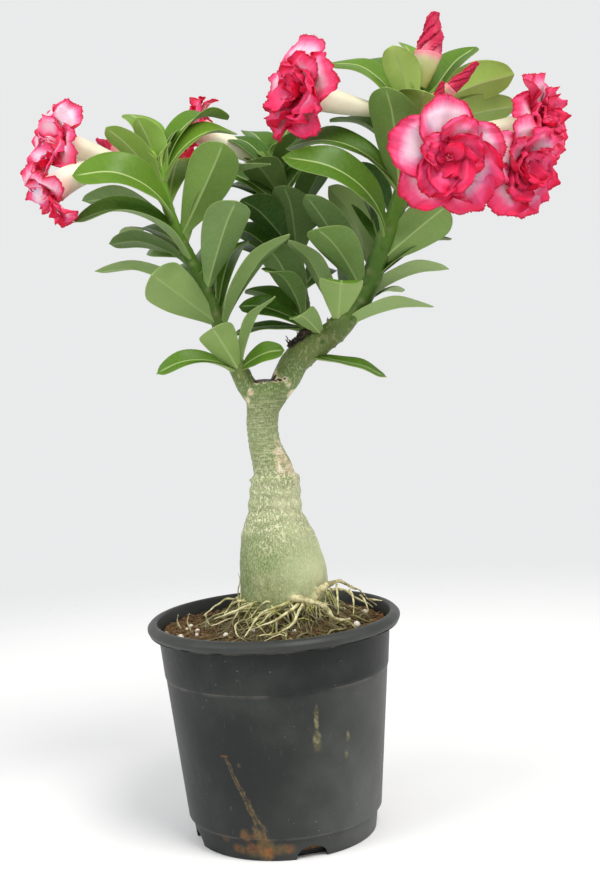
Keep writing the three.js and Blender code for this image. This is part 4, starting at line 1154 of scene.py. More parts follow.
# %% Root finish
def root_finish():
    f = Finish("pale_roots", Specular_IOR_Level=0.35)
    green, near_soil, _ = f.mark("tone")
    cream = f.mix(f.step(f.noise(150, 4), 0.34, 0.62), (0.26, 0.22, 0.08), (0.76, 0.7, 0.42))
    mossy = f.mix(f.step(f.noise(200, 3), 0.34, 0.62), (0.1, 0.12, 0.022), (0.46, 0.47, 0.14))
    dirty = f.step(f.noise(480, 5), 0.55, 0.72)
    # Darker in patches of dirt, and darker close to the soil.
    dirt_and_darkening = f.math("MAXIMUM", f.times(dirty, 0.65), f.times(near_soil, 0.92))
    f.set("Base Color", f.mix(dirt_and_darkening, f.mix(green, cream, mossy), (0.065, 0.042, 0.018)))
    f.set("Roughness", f.step(f.noise(200, 3), 0.3, 0.7, 0.5, 0.8))
    f.set("Normal", f.bump(f.noise(1100, 4), 0.0003))
    return f.done()


pale_root = root_finish()

# %% Ways of the thin roots
FINE_ROOTS, MAT_ROOTS = 230, 84
# Where the threads start: how many of them, as a share, and between which angles round the trunk.
THREAD_SIDES = {
    "front": (0.34, -2.5, -0.7),
    "right": (0.28, -0.9, 0.7),
    "left": (0.24, 2.6, 4.2),
    "round": (0.14, -math.pi, math.pi),
}


def thread_way(rng):
    side = rng.choice(list(THREAD_SIDES), p=[row[0] for row in THREAD_SIDES.values()])
    turn = {name: rng.uniform(low, high) for name, (_, low, high) in THREAD_SIDES.items()}[side]
    start = rng.uniform(26, 48)
    place = np.array([TRUNK_X + start * math.cos(turn), start * math.sin(turn)])
    heading = turn + rng.normal(0, 0.8)
    way = []
    for _ in range(rng.integers(5, 9)):
        way.append(place.copy())
        heading += rng.normal(0, 0.6)
        place = place + rng.uniform(4, 8) * np.array([math.cos(heading), math.sin(heading)])
        if np.hypot(*place) > SOIL_REACH - 4:
            break
    way = np.array(way)
    if len(way) < 3:
        return None
    lift = rng.uniform(0.3, 1) + rng.uniform(0, 1) ** 4 * 7 * np.sin(np.linspace(0, math.pi, len(way)))
    return np.column_stack([way, rough_ground(way[:, 0], way[:, 1]) + lift])


def mat_way(rng):
    """A root that leaves the trunk a little up, hugs its foot, and dives into the soil."""
    turn = rng.uniform(-2.75, 0.35)
    sweep = rng.normal(0, 0.55)
    reach = np.array([29.5, 33, 37.5, 43, rng.uniform(46, 62)]) + rng.uniform(-1, 2.5)
    turns = turn + sweep * np.array([0, 0.35, 0.75, 1, 1.15])
    x, y = TRUNK_X + reach * np.cos(turns), reach * np.sin(turns)
    inside = np.minimum(1, (SOIL_REACH - 4) / np.hypot(x, y))
    x, y = x * inside, y * inside
    ground = rough_ground(x, y)
    start = rng.uniform(163, 173)
    bend = ground[2] + rng.uniform(1.5, 4)
    height = np.array([start, max(start - 0.5, ground[1] + 2), bend, ground[3] + 1, ground[4] - 1.5])
    return np.column_stack([x, y, np.maximum(height, ground - 1.6)])


# Threads that stand up out of the soil at the left: each a short way of points.
STANDING_THREADS = [
    [(-22, -6, 166), (-24, -7, 176), (-22, -8, 184), (-23, -9, 190)],
    [(-24, -10, 165), (-22, -10, 174), (-21, -9, 181)],
    [(-58, -20, 153), (-60, -21, 160), (-58, -22, 166)],
    [(-66, -8, 152), (-68, -9, 158), (-67, -10, 163)],
    [(-44, -30, 158), (-46, -31, 166), (-41, -30, 170)],
]
print("threads:", FINE_ROOTS, "mat roots:", MAT_ROOTS, "standing threads:", len(STANDING_THREADS))

# %% Make the roots
def root_tone(points, green):
    """How mossy a root is, and how much darker it is close to the soil."""
    above = points[:, 2] - rough_ground(points[:, 0], points[:, 1])
    near_soil = 1 - smooth(above, 0.6, 8)
    return np.column_stack([np.full(len(points), green), near_soil, 0 * near_soil])


def main_roots(rng):
    """The solid's roots, apart from those in one skin with the trunk."""
    for k, (points, start, end) in enumerate(ROOTS):
        if start <= MERGED_ROOT:
            body = root_body(resting_root(points, start, end), 0.74 * start, 0.66 * end, 26, 10, k)
            yield body, root_tone(body[0], rng.uniform(0, 0.45))


def thread_roots(rng):
    share = evenly(13)
    for k in range(FINE_ROOTS):
        way = thread_way(rng)
        if way is None:
            continue
        size = rng.uniform(0.2, 0.6) if k % 4 else rng.uniform(0.55, 1.05)
        body = tube_body(*curve_at(way, share), size * along([0.9, 1, 0.85, 0.35], share), 6)
        yield body, root_tone(body[0], rng.uniform(0, 1))


def mat_roots(rng):
    share = evenly(17)
    for _ in range(MAT_ROOTS):
        centres, directions = curve_at(mat_way(rng), share)
        centres = centres + 0.5 * wander_of(centres, 0.16, 31)
        radii = rng.uniform(0.28, 0.72) * along([1.15, 1, 0.9, 0.6], share)
        radii = radii * (1 + 0.3 * roughness_of(centres, 0.4, 36, 2))
        body = tube_body(centres, directions, radii, 7)
        yield body, root_tone(body[0], rng.uniform(0, 1))


def standing_threads():
    share = evenly(12)
    for way in STANDING_THREADS:
        body = tube_body(*curve_at(way, share), along([0.6, 0.45, 0.2], share), 6, (1, 0, 0))
        yield body, (0.2, 0, 0)


def make_roots(finish):
    rng = np.random.default_rng(23)
    roots = Collector()
    for body, tone in [*main_roots(rng), *thread_roots(rng), *mat_roots(rng), *standing_threads()]:
        roots.add(*body, tone=tone)
    piece = roots.mesh("caudex_roots", finish)
    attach(piece, "root")


make_roots(pale_root)

# %% [markdown]
# ## Leaves
# The leaves are thick, glossy paddles, broadest beyond the middle, folded along a pale rib and bent back
# towards the tip. Their undersides are matt and greyer. One flat card per leaf would look like paper from
# the side, so each leaf is a closed blade with a real edge. Its fold, bend and width come from the same
# rows as the solid.

# %% Leaf rows
# Each leaf: place on its shoot, tip x, y and z, width, how far its upper side faces the front, and its arch.
LEAVES = {
    "left": [
        (0.03, -28, -58, 366, 26, -0.6, 0.15), (0.02, -70, -25, 336, 19, 0.4, 0.33),
        (0.26, -66, -60, 403, 35, -0.75, 0.15), (0.29, -107, -15, 413, 25, -0.3, 0.22),
        (0.5, -98, 5, 430, 23, -0.35, 0.2), (0.53, -94, 50, 436, 27, 0.3, 0.25),
        (0.52, -116, -46, 445, 32, 0.25, 0.4), (0.65, -117, 30, 464, 28, -0.4, 0.2),
        (0.72, -113, -56, 474, 34, 0.55, 0.42), (0.88, -90, -34, 503, 26, -0.6, 0.12),
        (0.89, -69, -26, 509, 25, -0.8, 0.1), (0.94, -80, 22, 518, 27, 0.6, 0.25),
        (0.64, -11, -52, 487, 35, -0.9, 0.2), (0.4, -5, -70, 449, 33, -0.7, 0.12),
        (0.27, -7, 28, 428, 29, 0.65, 0.15), (0.27, -21, 4, 424, 21, 0.35, 0.1),
        (0.24, 26, -38, 427, 27, -0.45, 0.12), (0.06, 12, -28, 386, 19, -0.45, 0.1),
        (0.04, 19, -22, 347, 18, 0.6, 0.2), (0.6, 18, -28, 474, 27, -0.3, 0.35),
        (0.97, -46, -12, 501, 20, 0.6, 0.15), (0.95, -10, 16, 513, 29, 0.5, 0.4),
        (0.91, -3, -8, 499, 31, 0.55, 0.4), (0.55, -70, 70, 430, 29, 0.4, 0.2),
        (0.75, -84, 66, 488, 29, 0.5, 0.3), (0.8, -48, 62, 486, 29, 0.6, 0.3),
        (0.42, -44, 74, 412, 27, 0.5, 0.2),
    ],
    "right": [
        (0.02, 90, -14, 326, 19, 0.35, 0.02), (0.2, 124, -20, 371, 27, -0.4, 0.15),
        (0.32, 138, 5, 396, 27, -0.2, 0.2), (0.31, 107, 34, 383, 23, 0.35, 0.2),
        (0.44, 142, 12, 418, 29, 0.4, 0.25), (0.52, 136, -40, 437, 35, -0.85, 0.15),
        (0.24, 61, -60, 394, 36, -0.8, 0.25), (0.43, 46, -50, 427, 32, -0.65, 0.2),
        (0.59, 26, -46, 477, 33, 0.65, 0.45), (0.72, 28, 2, 486, 33, 0.5, 0.42),
        (0.77, 61, 22, 505, 27, 0.45, 0.35), (0.65, 75, 32, 470, 27, -0.4, 0.15),
        (0.4, 42, -16, 452, 31, -0.65, 0.1), (0.5, 62, 45, 460, 29, -0.6, 0.15),
        (0.71, 98, -58, 517, 37, -0.75, 0.1), (0.86, 123, -54, 513, 35, -0.85, 0.12),
        (0.88, 64, 4, 546, 31, 0.5, 0.3), (0.9, 86, 30, 550, 29, 0.65, 0.2),
        (0.93, 105, -28, 546, 27, -0.8, 0.08), (0.95, 118, 24, 556, 26, 0.6, 0.15),
        (0.88, 166, 24, 553, 29, 0.6, 0.1), (0.94, 192, 24, 529, 33, -0.75, 0.1),
        (0.87, 196, 44, 509, 27, -0.6, 0.1), (0.14, 28, -42, 372, 19, -0.5, 0.15),
        (0.25, 30, -14, 424, 25, -0.55, 0.12), (0.3, 74, 74, 400, 29, 0.5, 0.2),
        (0.45, 128, 66, 420, 29, 0.5, 0.25), (0.56, 84, 76, 455, 29, 0.6, 0.2),
        (0.66, 158, 50, 452, 29, 0.4, 0.25), (0.78, 120, 74, 496, 29, 0.6, 0.2),
    ],
    "middle": [
        (0.08, -11, 6, 379, 23, 0.6, 0.2), (0.06, -17, 12, 358, 19, 0.4, 0.15),
        (0.15, -6, 32, 390, 25, 0.55, 0.15), (0.2, 11, -28, 405, 23, -0.45, 0.2),
        (0.5, -4, 18, 455, 33, -0.75, 0.12), (0.47, 28, 10, 462, 33, -0.85, 0.12),
        (0.24, 12, 10, 421, 31, -0.85, 0.1), (0.62, -26, 46, 478, 29, 0.6, 0.25),
        (0.7, -24, 78, 466, 29, 0.5, 0.25), (0.75, 64, 62, 488, 29, 0.6, 0.25),
        (0.85, 42, 26, 500, 27, -0.6, 0.15), (0.9, 2, 92, 508, 27, 0.6, 0.2),
        (0.55, 74, 74, 440, 29, 0.4, 0.25), (0.66, 32, 104, 452, 29, 0.4, 0.25),
        (0.4, -14, 84, 424, 29, 0.5, 0.25), (0.35, 50, 92, 404, 27, 0.5, 0.25),
        (0.95, 50, 78, 522, 26, 0.6, 0.2), (0.6, 58, 30, 478, 29, -0.7, 0.1),
        (0.72, 4, 20, 482, 29, -0.75, 0.12), (0.36, -20, 56, 440, 29, 0.6, 0.2),
        (0.8, -12, 60, 504, 27, 0.6, 0.25),
    ],
}
# How pale some leaves are, from 0 to 1, by their row: partly their own tone, partly painted light, paler
# where a leaf catches the light and darker where it lies in shade. The others get a seeded shade.
LEAF_TONES_AND_PAINTED_LIGHT = {
    "left": {0: 0.6, 2: 0.7, 6: 0.5, 8: 0.42, 9: 0.25, 10: 0.3, 12: 0.3, 13: 0.4, 16: 0.6, 17: 0.55, 21: 0.2,
             22: 0.4},
    "right": {1: 0.85, 2: 0.95, 4: 0, 5: 0.45, 6: 0.75, 7: 0.3, 8: 0.3, 9: 0.1, 11: 0, 14: 0.25, 15: 0.8,
              16: 0.35, 17: 0.2, 18: 1, 20: 0.3, 21: 0.5, 22: 0.45, 26: 0},
    "middle": {},
}
# Leaves of another build than most: how far folded and how wide, as shares of the usual.
BUILDS = {("right", 6): (0.3, 0.84)}
print("leaves:", {name: len(rows) for name, rows in LEAVES.items()})

# %% Leaf outline
PETIOLE_HALF_WIDTH, LEAF_FOLD_ANGLE = 1.8, 25
# Where a leaf is broadest, and how far beyond that its tip reaches, as shares of its length.
LEAF_BROADEST, LEAF_TIP = 0.65, 0.35
# How far along a leaf its rows of points lie, closest at the tip, and how far across, closest at rib and rim.
LEAF_ROWS = np.concatenate([np.linspace(0, 0.88, 19), [0.915, 0.94, 0.96, 0.976, 0.988, 0.996, 0.9995]])
HALF_COLUMNS = np.array([1, 0.955, 0.82, 0.62, 0.4, 0.2, 0.07])
LEAF_COLUMNS = np.concatenate([HALF_COLUMNS, [0], -HALF_COLUMNS[::-1]])
FRONT = np.array([0, -1, 0])


def leaf_outline(s):
    """Half width as a share of the most: a wedge from the foot, then a round tip."""
    rise = np.sin(math.pi / 2 * np.clip(s / LEAF_BROADEST, 0, 1))
    fall = np.clip((s - LEAF_BROADEST) / LEAF_TIP, 0, 1)
    return rise * (1 - fall**2) ** 0.55


print("half width at the middle of a leaf:", round(float(leaf_outline(0.5)), 2), "of its most")

# %% Leaf shape
def upper_side(direction, growth, face):
    """Which way the upper side looks: to the front as far as face says, or else to the stem's tip."""
    to_front = FRONT - direction * (FRONT @ direction)
    reach = np.linalg.norm(to_front)
    to_front = to_front / reach
    aside = np.cross(direction, to_front)
    share = np.clip(face / reach, -1, 1)
    rest = math.sqrt(1 - share * share) * (1 if aside @ growth >= 0 else -1)
    return to_front * share + aside * rest


def leaf_frame(base, growth, row, rng):
    """A leaf's middle along its length, the ways across and up from it, and how long it is."""
    _, x, y, z, _, face, arch = row
    tip = np.array([x, y, z], float)
    chord = tip - base
    length = np.linalg.norm(chord)
    upper = upper_side(chord / length, growth, face)
    middle, forward = bend_at(base, (base + tip) / 2 + upper * arch * length, tip, LEAF_ROWS)
    up = unit(upper - forward * (forward @ upper)[:, None])
    across = np.cross(forward, up)
    twist = np.radians(rng.normal(0, 6)) * LEAF_ROWS[:, None]
    twisted = across * np.cos(twist) + up * np.sin(twist)
    return middle, twisted, up * np.cos(twist) - across * np.sin(twist), length


def leaf_section(blade, half, folded, rng):
    s, t = LEAF_ROWS, LEAF_COLUMNS
    fold = np.radians(LEAF_FOLD_ANGLE) * folded * rng.uniform(0.75, 1.3) * (1 - 0.45 * smooth(s, 0.5, 1))
    offset = t * (half - blade * (1 - np.cos(fold)))[:, None]
    lift = (blade * np.sin(fold))[:, None] * np.abs(t) ** rng.uniform(1.1, 1.5)
    phase = rng.uniform(0, TURN, 2)
    wave = np.where(t > 0, phase[0], phase[1]) + TURN * rng.uniform(1.3, 2.4) * s[:, None]
    curl = 0.05 * np.abs(t) ** 2 * np.sin(wave) - rng.uniform(0, 0.2) * np.abs(t) ** 4
    return offset, lift + blade[:, None] * curl


def leaf_blade(base, growth, row, build, rng):
    """Upper and lower grid of a leaf, and marks: place across, place along, distance from the edge."""
    folded, width = build[0], build[1] * row[4]
    s, t = LEAF_ROWS, LEAF_COLUMNS
    middle, across, up, length = leaf_frame(base, growth, row, rng)
    blade = np.maximum(width / 2 * leaf_outline(s) - PETIOLE_HALF_WIDTH, 0)
    half = PETIOLE_HALF_WIDTH * (1 - smooth(s, 0.93, 1)) + 0.8 * (1 - smooth(s, 0.03, 0.16)) + blade
    offset, lift = leaf_section(blade, half, folded, rng)
    back = -rng.uniform(0.02, 0.09) * length * smooth(s, 0.62, 1) ** 1.5
    centre = middle[:, None] + across[:, None] * offset[:, :, None]
    sheet = centre + up[:, None] * (lift + back[:, None])[:, :, None]
    body = along([4.2, 1.8, 1.2, 1, 1, 0.8], s)[:, None] * (0.35 + 0.65 * (1 - t**2) ** 0.6)
    rib = (1.5 * (1 - s) ** 0.7 + 0.15)[:, None] * np.exp(-((offset / 1.3) ** 2)) * smooth(s, 0, 0.1)[:, None]
    top = sheet + up[:, None] * (0.5 * body - 0.14 * rib)[:, :, None]
    under = sheet - up[:, None] * (0.5 * body + 0.75 * rib)[:, :, None]
    far = t * half[:, None]
    grid = np.stack([far, s[:, None] + 0 * far, half[:, None] - np.abs(far)], -1)
    return top, under, grid


print("points of a leaf:", 2 * len(LEAF_ROWS) * len(LEAF_COLUMNS))

# %% [markdown]
# ## The leaves' colour
# The upper side is dark and glossy, the underside greyer and matt, and young leaves are yellower. The marks
# tell the finish how far a point is from the rib, the foot and the edge, so that rib, veins and pale rim
# follow each leaf, however it bends. Flat texture coordinates could do the same, but need an unwrapped
# picture.

# %% Leaf finish
def leaf_flesh(f, under, tone, own_and_painted_light):
    # The third look mark holds each leaf's paleness: partly its own tone, partly painted light and shade.
    face_old = f.mix(own_and_painted_light, (0.028, 0.088, 0.006), (0.1, 0.205, 0.018))
    face_young = f.mix(own_and_painted_light, (0.062, 0.15, 0.007), (0.225, 0.39, 0.034))
    back_old = f.mix(own_and_painted_light, (0.046, 0.126, 0.018), (0.32, 0.44, 0.165))
    back_young = f.mix(own_and_painted_light, (0.14, 0.3, 0.022), (0.57, 0.76, 0.19))
    return f.mix(under, f.mix(tone, face_old, face_young), f.mix(tone, back_old, back_young))


def leaf_finish():
    f = Finish("fleshy_leaf", Specular_IOR_Level=0.2)
    offset, share, edge = f.mark("place")
    under, tone, own_and_painted_light = f.mark("look")
    away = f.math("ABSOLUTE", offset)
    cloud, fine = f.noise(48, 4), f.noise(420, 4)
    flesh = leaf_flesh(f, under, tone, own_and_painted_light)
    shadowed = f.times(f.step(cloud, 0.3, 0.7, 0, 0.3), f.minus(1, f.times(under, 0.6)))
    clouded = f.mix(shadowed, flesh, (0.045, 0.11, 0.01))
    slant = f.minus(f.times(share, 120), f.times(away, 0.75))
    ripple = f.math("SINE", f.plus(slant, f.times(fine, 3.5)))
    vein = f.times(f.step(ripple, 0.8, 1), f.step(away, 0.8, 3))
    pale = f.mix(under, (0.19, 0.33, 0.07), (0.36, 0.45, 0.21))
    veined = f.mix(f.times(vein, 0.08), clouded, pale)
    mottle = f.mix(f.step(fine, 0.35, 0.8, 0, 0.14), veined, pale)
    rib = f.times(f.step(away, 0.3, 1.05, 1, 0), f.step(share, 0.9, 0.99, 1, 0))
    ribbed = f.mix(f.times(rib, 0.75), mottle, f.mix(tone, (0.34, 0.45, 0.17), (0.5, 0.6, 0.25)))
    rim = f.step(edge, 0.1, 0.45, 1, 0)
    rimmed = f.mix(f.times(rim, 0.5), ribbed, (0.36, 0.44, 0.16))
    foot = f.step(share, 0.02, 0.2, 0.6, 0)
    f.set("Base Color", f.mix(foot, rimmed, (0.24, 0.38, 0.1)))
    gloss = f.step(cloud, 0.3, 0.7, 0.34, 0.48)
    f.set("Roughness", f.plus(gloss, f.times(under, 0.12)))
    relief = f.bump(fine, 0.00005)
    f.set("Normal", f.bump(vein, 0.00004, f.bump(cloud, 0.0008, relief)))
    return f.done()


leaf = leaf_finish()

# %% [markdown]
# ## Green stems
# Each shoot is a fleshy stem that carries its leaves all round and grows brighter towards its tip. Old
# leaves leave pale half-moon scars, which show as low steps and lighter rings. The stem, the flower stalks
# and the swelling that carries the middle shoot are tubes that start deep inside each other. A skin
# modifier could join them, but its radii are hard to set by measure.

# %% Stem finish
# The greens of the older stem, close to those of the bare arm below it.
OLD_STEM_GREENS = (0.088, 0.125, 0.028), (0.165, 0.21, 0.062)


def stem_finish():
    f = Finish("green_stem", Specular_IOR_Level=0.3)
    young, scar, tip = f.mark("look")
    cloud = f.noise(70, 4)
    old = f.mix(cloud, *OLD_STEM_GREENS)
    fresh = f.mix(cloud, (0.036, 0.098, 0.006), (0.085, 0.18, 0.014))
    fresh = f.mix(tip, fresh, f.mix(cloud, (0.11, 0.26, 0.015), (0.22, 0.43, 0.04)))
    base = f.mix(young, old, fresh)
    tall = f.stretched((1, 1, 0.4))
    flecks = f.step(f.noise(420, 5, tall, 0.7), 0.53, 0.66)
    speck = f.times(flecks, f.minus(0.5, f.times(young, 0.46)))
    flecked = f.mix(speck, base, (0.46, 0.46, 0.24))
    f.set("Base Color", f.mix(f.times(scar, 0.35), flecked, (0.34, 0.33, 0.16)))
    f.set("Roughness", f.step(cloud, 0.3, 0.7, 0.38, 0.56))
    f.set("Normal", f.bump(f.noise(130, 4), 0.0009, f.bump(f.noise(700, 4), 0.0002)))
    return f.done()


stem = stem_finish()

# %% Stem shape
STEM_RINGS, STEM_SIDES = 170, 28
# How far apart the leaf scars are, as a share of the green stem.
SCAR_STEP = 0.024


def stem_body(name, rng):
    """A stem that starts a little inside the arm below it, with a low step at each leaf scar."""
    row = SHOOTS[name]
    first = arm_share(name)
    share = np.linspace(max(first - 0.022, 0), 1, STEM_RINGS)
    centres, directions = curve_at(row["points"], share)
    green = np.clip((share - first) / (1 - first), 0, 1)
    radii = along(row["radii"][row["arm"]:], green) * (1 - 0.1 * smooth(first - share, 0, 0.02))
    turn = ring_turns(STEM_SIDES)
    shape = np.ones((STEM_RINGS, STEM_SIDES)) + 0.05 * roughness_of(centres, 0.12, 17, 2)[:, None]
    scar = np.zeros((STEM_RINGS, STEM_SIDES))
    for place in np.arange(0.02, 0.95, SCAR_STEP):
        facing = rng.uniform(0, TURN)
        near = np.exp(-(((green[:, None] - place) / 0.009) ** 2))
        side = np.exp(-((((turn - facing + math.pi) % TURN - math.pi) / 0.5) ** 2))
        shape += 0.09 * near * side
        scar = np.maximum(scar, near * side)
    radii[-1] *= 0.5
    points, faces = tube_body(centres, directions, radii, STEM_SIDES, (0, -1, 0), shape)
    young = np.repeat(smooth(green, 0 if name == "left" else 0.1, 0.5), STEM_SIDES)
    tip = np.repeat(smooth(green, 0.5, 0.95), STEM_SIDES)
    ends = [(young[0], 0, 0), (young[-1], 0, 1)]
    return points, faces, np.vstack([np.column_stack([young, scar.ravel(), tip]), ends])


def axil_buds(name, rng):
    row = SHOOTS[name]
    for place in np.linspace(0.12, 0.93, 15):
        share = green_share(name, place + rng.uniform(-0.02, 0.02))
        centre, direction = on_limb(name, share)
        radius = float(along(row["radii"][row["arm"]:], place))
        out = unit(np.cross(direction, rng.normal(0, 1, 3)))
        lean = np.outer([0, 0.4, 1], 0.75 * out + 0.65 * direction)
        way = centre + out * (radius - 0.8) + lean * rng.uniform(2.5, 4.5)
        centres, directions = curve_at(way, evenly(7))
        radii = rng.uniform(0.9, 1.4) * np.array([0.8, 1, 1.05, 0.95, 0.7, 0.4, 0.1])
        points, faces = tube_body(centres, directions, radii, 8)
        yield points, faces, float(smooth(place, 0.5, 0.95))


def young_leaves(name):
    """Small folded leaves that crowd round the growing tip and hide the end of the stem."""
    tip, growth = on_limb(name, 1)
    side = unit(np.cross(growth, (0.2, 1, 0.1)))
    other = np.cross(growth, side)
    for k in range(6):
        turn = 2.4 * k
        lean, length = 0.22 + 0.09 * k, 8 + 2.3 * k
        out = side * math.cos(turn) + other * math.sin(turn)
        end = tip + (growth * math.cos(lean) + out * math.sin(lean)) * length
        yield (0.985 - 0.006 * k, *end, 6.5 + 1.7 * k, 0.3 * math.sin(turn), 0.15)


print("small leaves at a tip:", len(list(young_leaves("left"))))

# %% [markdown]
# ## Flower stalks, tubes and buds
# A flower sits on a short green stalk with five small pointed sepals, then a pale fleshy tube that widens
# like a trumpet, and then the petals. Each could be a bevelled curve, but a tube worked out here has a mark
# at every point for its finish. The solid model has the same path for each flower, so the rows are repeated
# here.

# %% Flower and bud rows
# The shoot, mouth of the tube, where it faces, radius over the petals, place on the shoot, turn, petals in
# each ring.
BLOOMS = {
    "bloom_1": ("right", (133, -60, 466), (0.14, -1, -0.1), 41, 0.93, 20, (5, 4, 3)),
    "bloom_2": ("right", (183, -31, 459), (0.62, -0.75, -0.18), 37, 0.91, 50, (5, 4, 3)),
    "bloom_3": ("right", (203, 2, 491), (0.78, -0.55, 0.2), 35, 0.915, 10, (5, 4, 3)),
    "bloom_4": ("right", (44, -26, 517), (-0.78, -0.55, 0.22), 39, 0.93, 31, (5, 4, 3)),
    "bloom_5": ("left", (-124, -15, 494.5), (-0.72, -0.6, 0.3), 31, 0.96, 0, (5, 3, 0)),
    "bloom_6": ("left", (-128, -39, 462), (-0.72, -0.34, -0.6), 27, 0.93, 30, (5, 3, 0)),
    "bloom_7": ("middle", (-32, 62, 505), (-0.75, 0.1, 0.4), 28, 0.97, 15, (5, 3, 0)),
}
# Each bud: its shoot, place on it, the neck where the colour starts, the tip, and the radius.
BUDS = {
    "bud_1": ("right", 0.99, (130, -8, 541), (137, -6, 569), 9.5),
    "bud_2": ("right", 0.93, (133, -21, 508), (138, -24, 520), 4),
    "bud_3": ("right", 0.99, (144, -15, 516), (163, -18, 532), 5),
    "bud_4": ("left", 0.9, (-92, 20, 493), (-105, 27, 501), 4),
}
# How much of the way from the shoot to the mouth is green stalk.
STALK_SHARE = 0.24
STALK_RADII, BUD_STALK_RADII = (2, 2.1, 3.4, 4), (1.8, 1.8, 2.6, 3)
TUBE_RADII = (4, 5.8, 7.6, 8.9, 9.6)
print("flowers:", len(BLOOMS), "buds:", len(BUDS))

# %% Stalks and sepals
def flower_path(shoot, place, mouth, facing):
    """The three points of the bend from the shoot to the mouth."""
    start, _ = on_limb(shoot, green_share(shoot, place))
    end, facing = np.array(mouth, float), unit(np.array(facing, float))
    return start, end - facing * 0.5 * np.linalg.norm(end - start), end


def bloom_path(name):
    shoot, mouth, facing, _, place, _, _ = BLOOMS[name]
    return flower_path(shoot, place, mouth, facing)


def bud_path(name):
    shoot, place, neck, tip, _ = BUDS[name]
    return flower_path(shoot, place, neck, np.array(tip, float) - np.array(neck, float))


def stalk_body(path, radii):
    share = np.linspace(0, STALK_SHARE, 14)
    return tube_body(*bend_at(*path, share), along(radii, share / STALK_SHARE), 16)


def sepal_bodies(path, radius, rng):
    foot, direction = (v[0] for v in bend_at(*path, [STALK_SHARE - 0.02]))
    a = unit(np.cross(direction, (0.3, 0.2, 1)))
    b = np.cross(direction, a)
    for k in range(5):
        turn = TURN * k / 5 + rng.uniform(-0.2, 0.2)
        out = a * math.cos(turn) + b * math.sin(turn)
        side = np.cross(direction, out)
        s, t = evenly(8)[:, None], np.linspace(-1, 1, 5)[None, :]
        half = 1.9 * (1 - s) ** 0.75 + 0.08
        reach = radius * 0.72 + 0.5 + 2.6 * s**1.6
        flat = s[..., None] * direction * 8 + out * reach[..., None] + side * (half * t)[..., None]
        lift = out * (0.35 * np.maximum(1 - t**2, 0) * (1 - s) + 0.12)[..., None]
        yield sheet_body(foot + flat + lift, foot + flat - 0.3 * out)


for name in BLOOMS:
    start, _, end = bloom_path(name)
    print(name, "stands", round(float(np.linalg.norm(end - start))), "mm out from its shoot")

# %% Make the leafy shoots
def leaf_look(name, number, row, rng):
    tone = np.clip(0.95 * smooth(row[0], 0.5, 0.97) + rng.uniform(-0.15, 0.3) - 0.15 * (row[2] > 20), 0, 1)
    # The paleness from the table is partly painted light and shade.
    shade = LEAF_TONES_AND_PAINTED_LIGHT[name].get(number, rng.uniform())
    if number >= len(LEAVES[name]):
        tone, shade = 1, 0.9
    # The middle shoot's leaves are painted darker, as painted shade inside the crown.
    if name == "middle":
        tone, shade = 0.4 * tone, 0.45 * shade
    return tone, shade


def add_leaves(blades, name, rng):
    for number, row in enumerate(LEAVES[name] + list(young_leaves(name))):
        base, growth = on_limb(name, green_share(name, row[0]))
        top, under, grid = leaf_blade(base, growth, row, BUILDS.get((name, number), (1, 1)), rng)
        tone, shade = leaf_look(name, number, row, rng)
        low = np.repeat([0, 1], grid.size // 3)
        look = np.column_stack([low, np.full(len(low), tone), np.full(len(low), shade)])
        blades.add(*sheet_body(top, under), place=np.vstack([grid.reshape(-1, 3)] * 2), look=look)


def add_middle_foot(stems):
    """The swelling of the right arm that carries the middle shoot."""
    foot, growth = on_limb("middle", 0)
    radius = SHOOTS["middle"]["radii"][0]
    way = foot + growth * np.linspace(-13, -GAP, 12)[:, None]
    stems.add(*tube_body(way, np.tile(growth, (12, 1)), np.full(12, radius), 20), look=(0.3, 0, 0))


def add_stalks(stems, name, rng):
    flowers = [(bloom_path(k), STALK_RADII) for k, row in BLOOMS.items() if row[0] == name]
    flowers += [(bud_path(k), BUD_STALK_RADII) for k, row in BUDS.items() if row[0] == name]
    for path, radii in flowers:
        stems.add(*stalk_body(path, radii), look=(1, 0, 0))
        for points, faces in sepal_bodies(path, radii[-1], rng):
            stems.add(points, faces, look=(0.9, 0.5, 0))


def make_shoot(name, leaf, stem):
    rng = np.random.default_rng({"left": 31, "right": 32, "middle": 33}[name])
    blades, stems = Collector(), Collector()
    add_leaves(blades, name, rng)
    points, faces, look = stem_body(name, rng)
    stems.add(points, faces, look=look)
    for points, faces, tip in axil_buds(name, rng):
        stems.add(points, faces, look=(1, 0, tip))
    if name == "right":
        add_middle_foot(stems)
    add_stalks(stems, name, rng)
    for piece in (blades.mesh(name + "_leaves", leaf), stems.mesh(name + "_stem", stem)):
        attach(piece, "root")
        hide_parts(name + "_shoot")


for shoot in SHOOTS:
    make_shoot(shoot, leaf, stem)

# %% [markdown]
# ## Petals
# A double flower has three wreaths of petals, the outer ones broad and flat, the inner ones smaller and
# more upright. All have a frilled, slightly torn rim. Cloth would fold softly, but petals are stiff tissue
# that grew in waves, so their folds are sums of sines, which grow towards the rim as the real ones do.

# %% Petal outline
# The rings of petals: foot, reach, forward rise, width, twist and wave.
PETAL_RINGS = [
    (6.5, 1, (2.5, 7, 8, 3), 1.1, 3.4, 2.4),
    (5, 0.76, (3, 8.5, 12, 11.5), 0.92, 3, 2.6),
    (3, 0.5, (3.5, 9, 13.5, 13), 0.74, 2.6, 2.6),
]
# How many waves run along a rim, how round a petal's end is, and where the petal is broadest.
WAVES, PETAL_ROUND, PETAL_BROADEST = 4.1, 0.36, 0.66
# A petal's rows and columns of points, and how many notches are drawn for its sides. The rows use the first.
PETAL_ROWS, PETAL_COLUMNS, NOTCHES = 21, 45, 24


def petal_half(s):
    rise = 0.3 + 0.7 * np.sin(math.pi / 2 * np.minimum(s / PETAL_BROADEST, 1)) ** 1.1
    return rise * (1 - 0.1 * smooth(s, 0.8, 1))


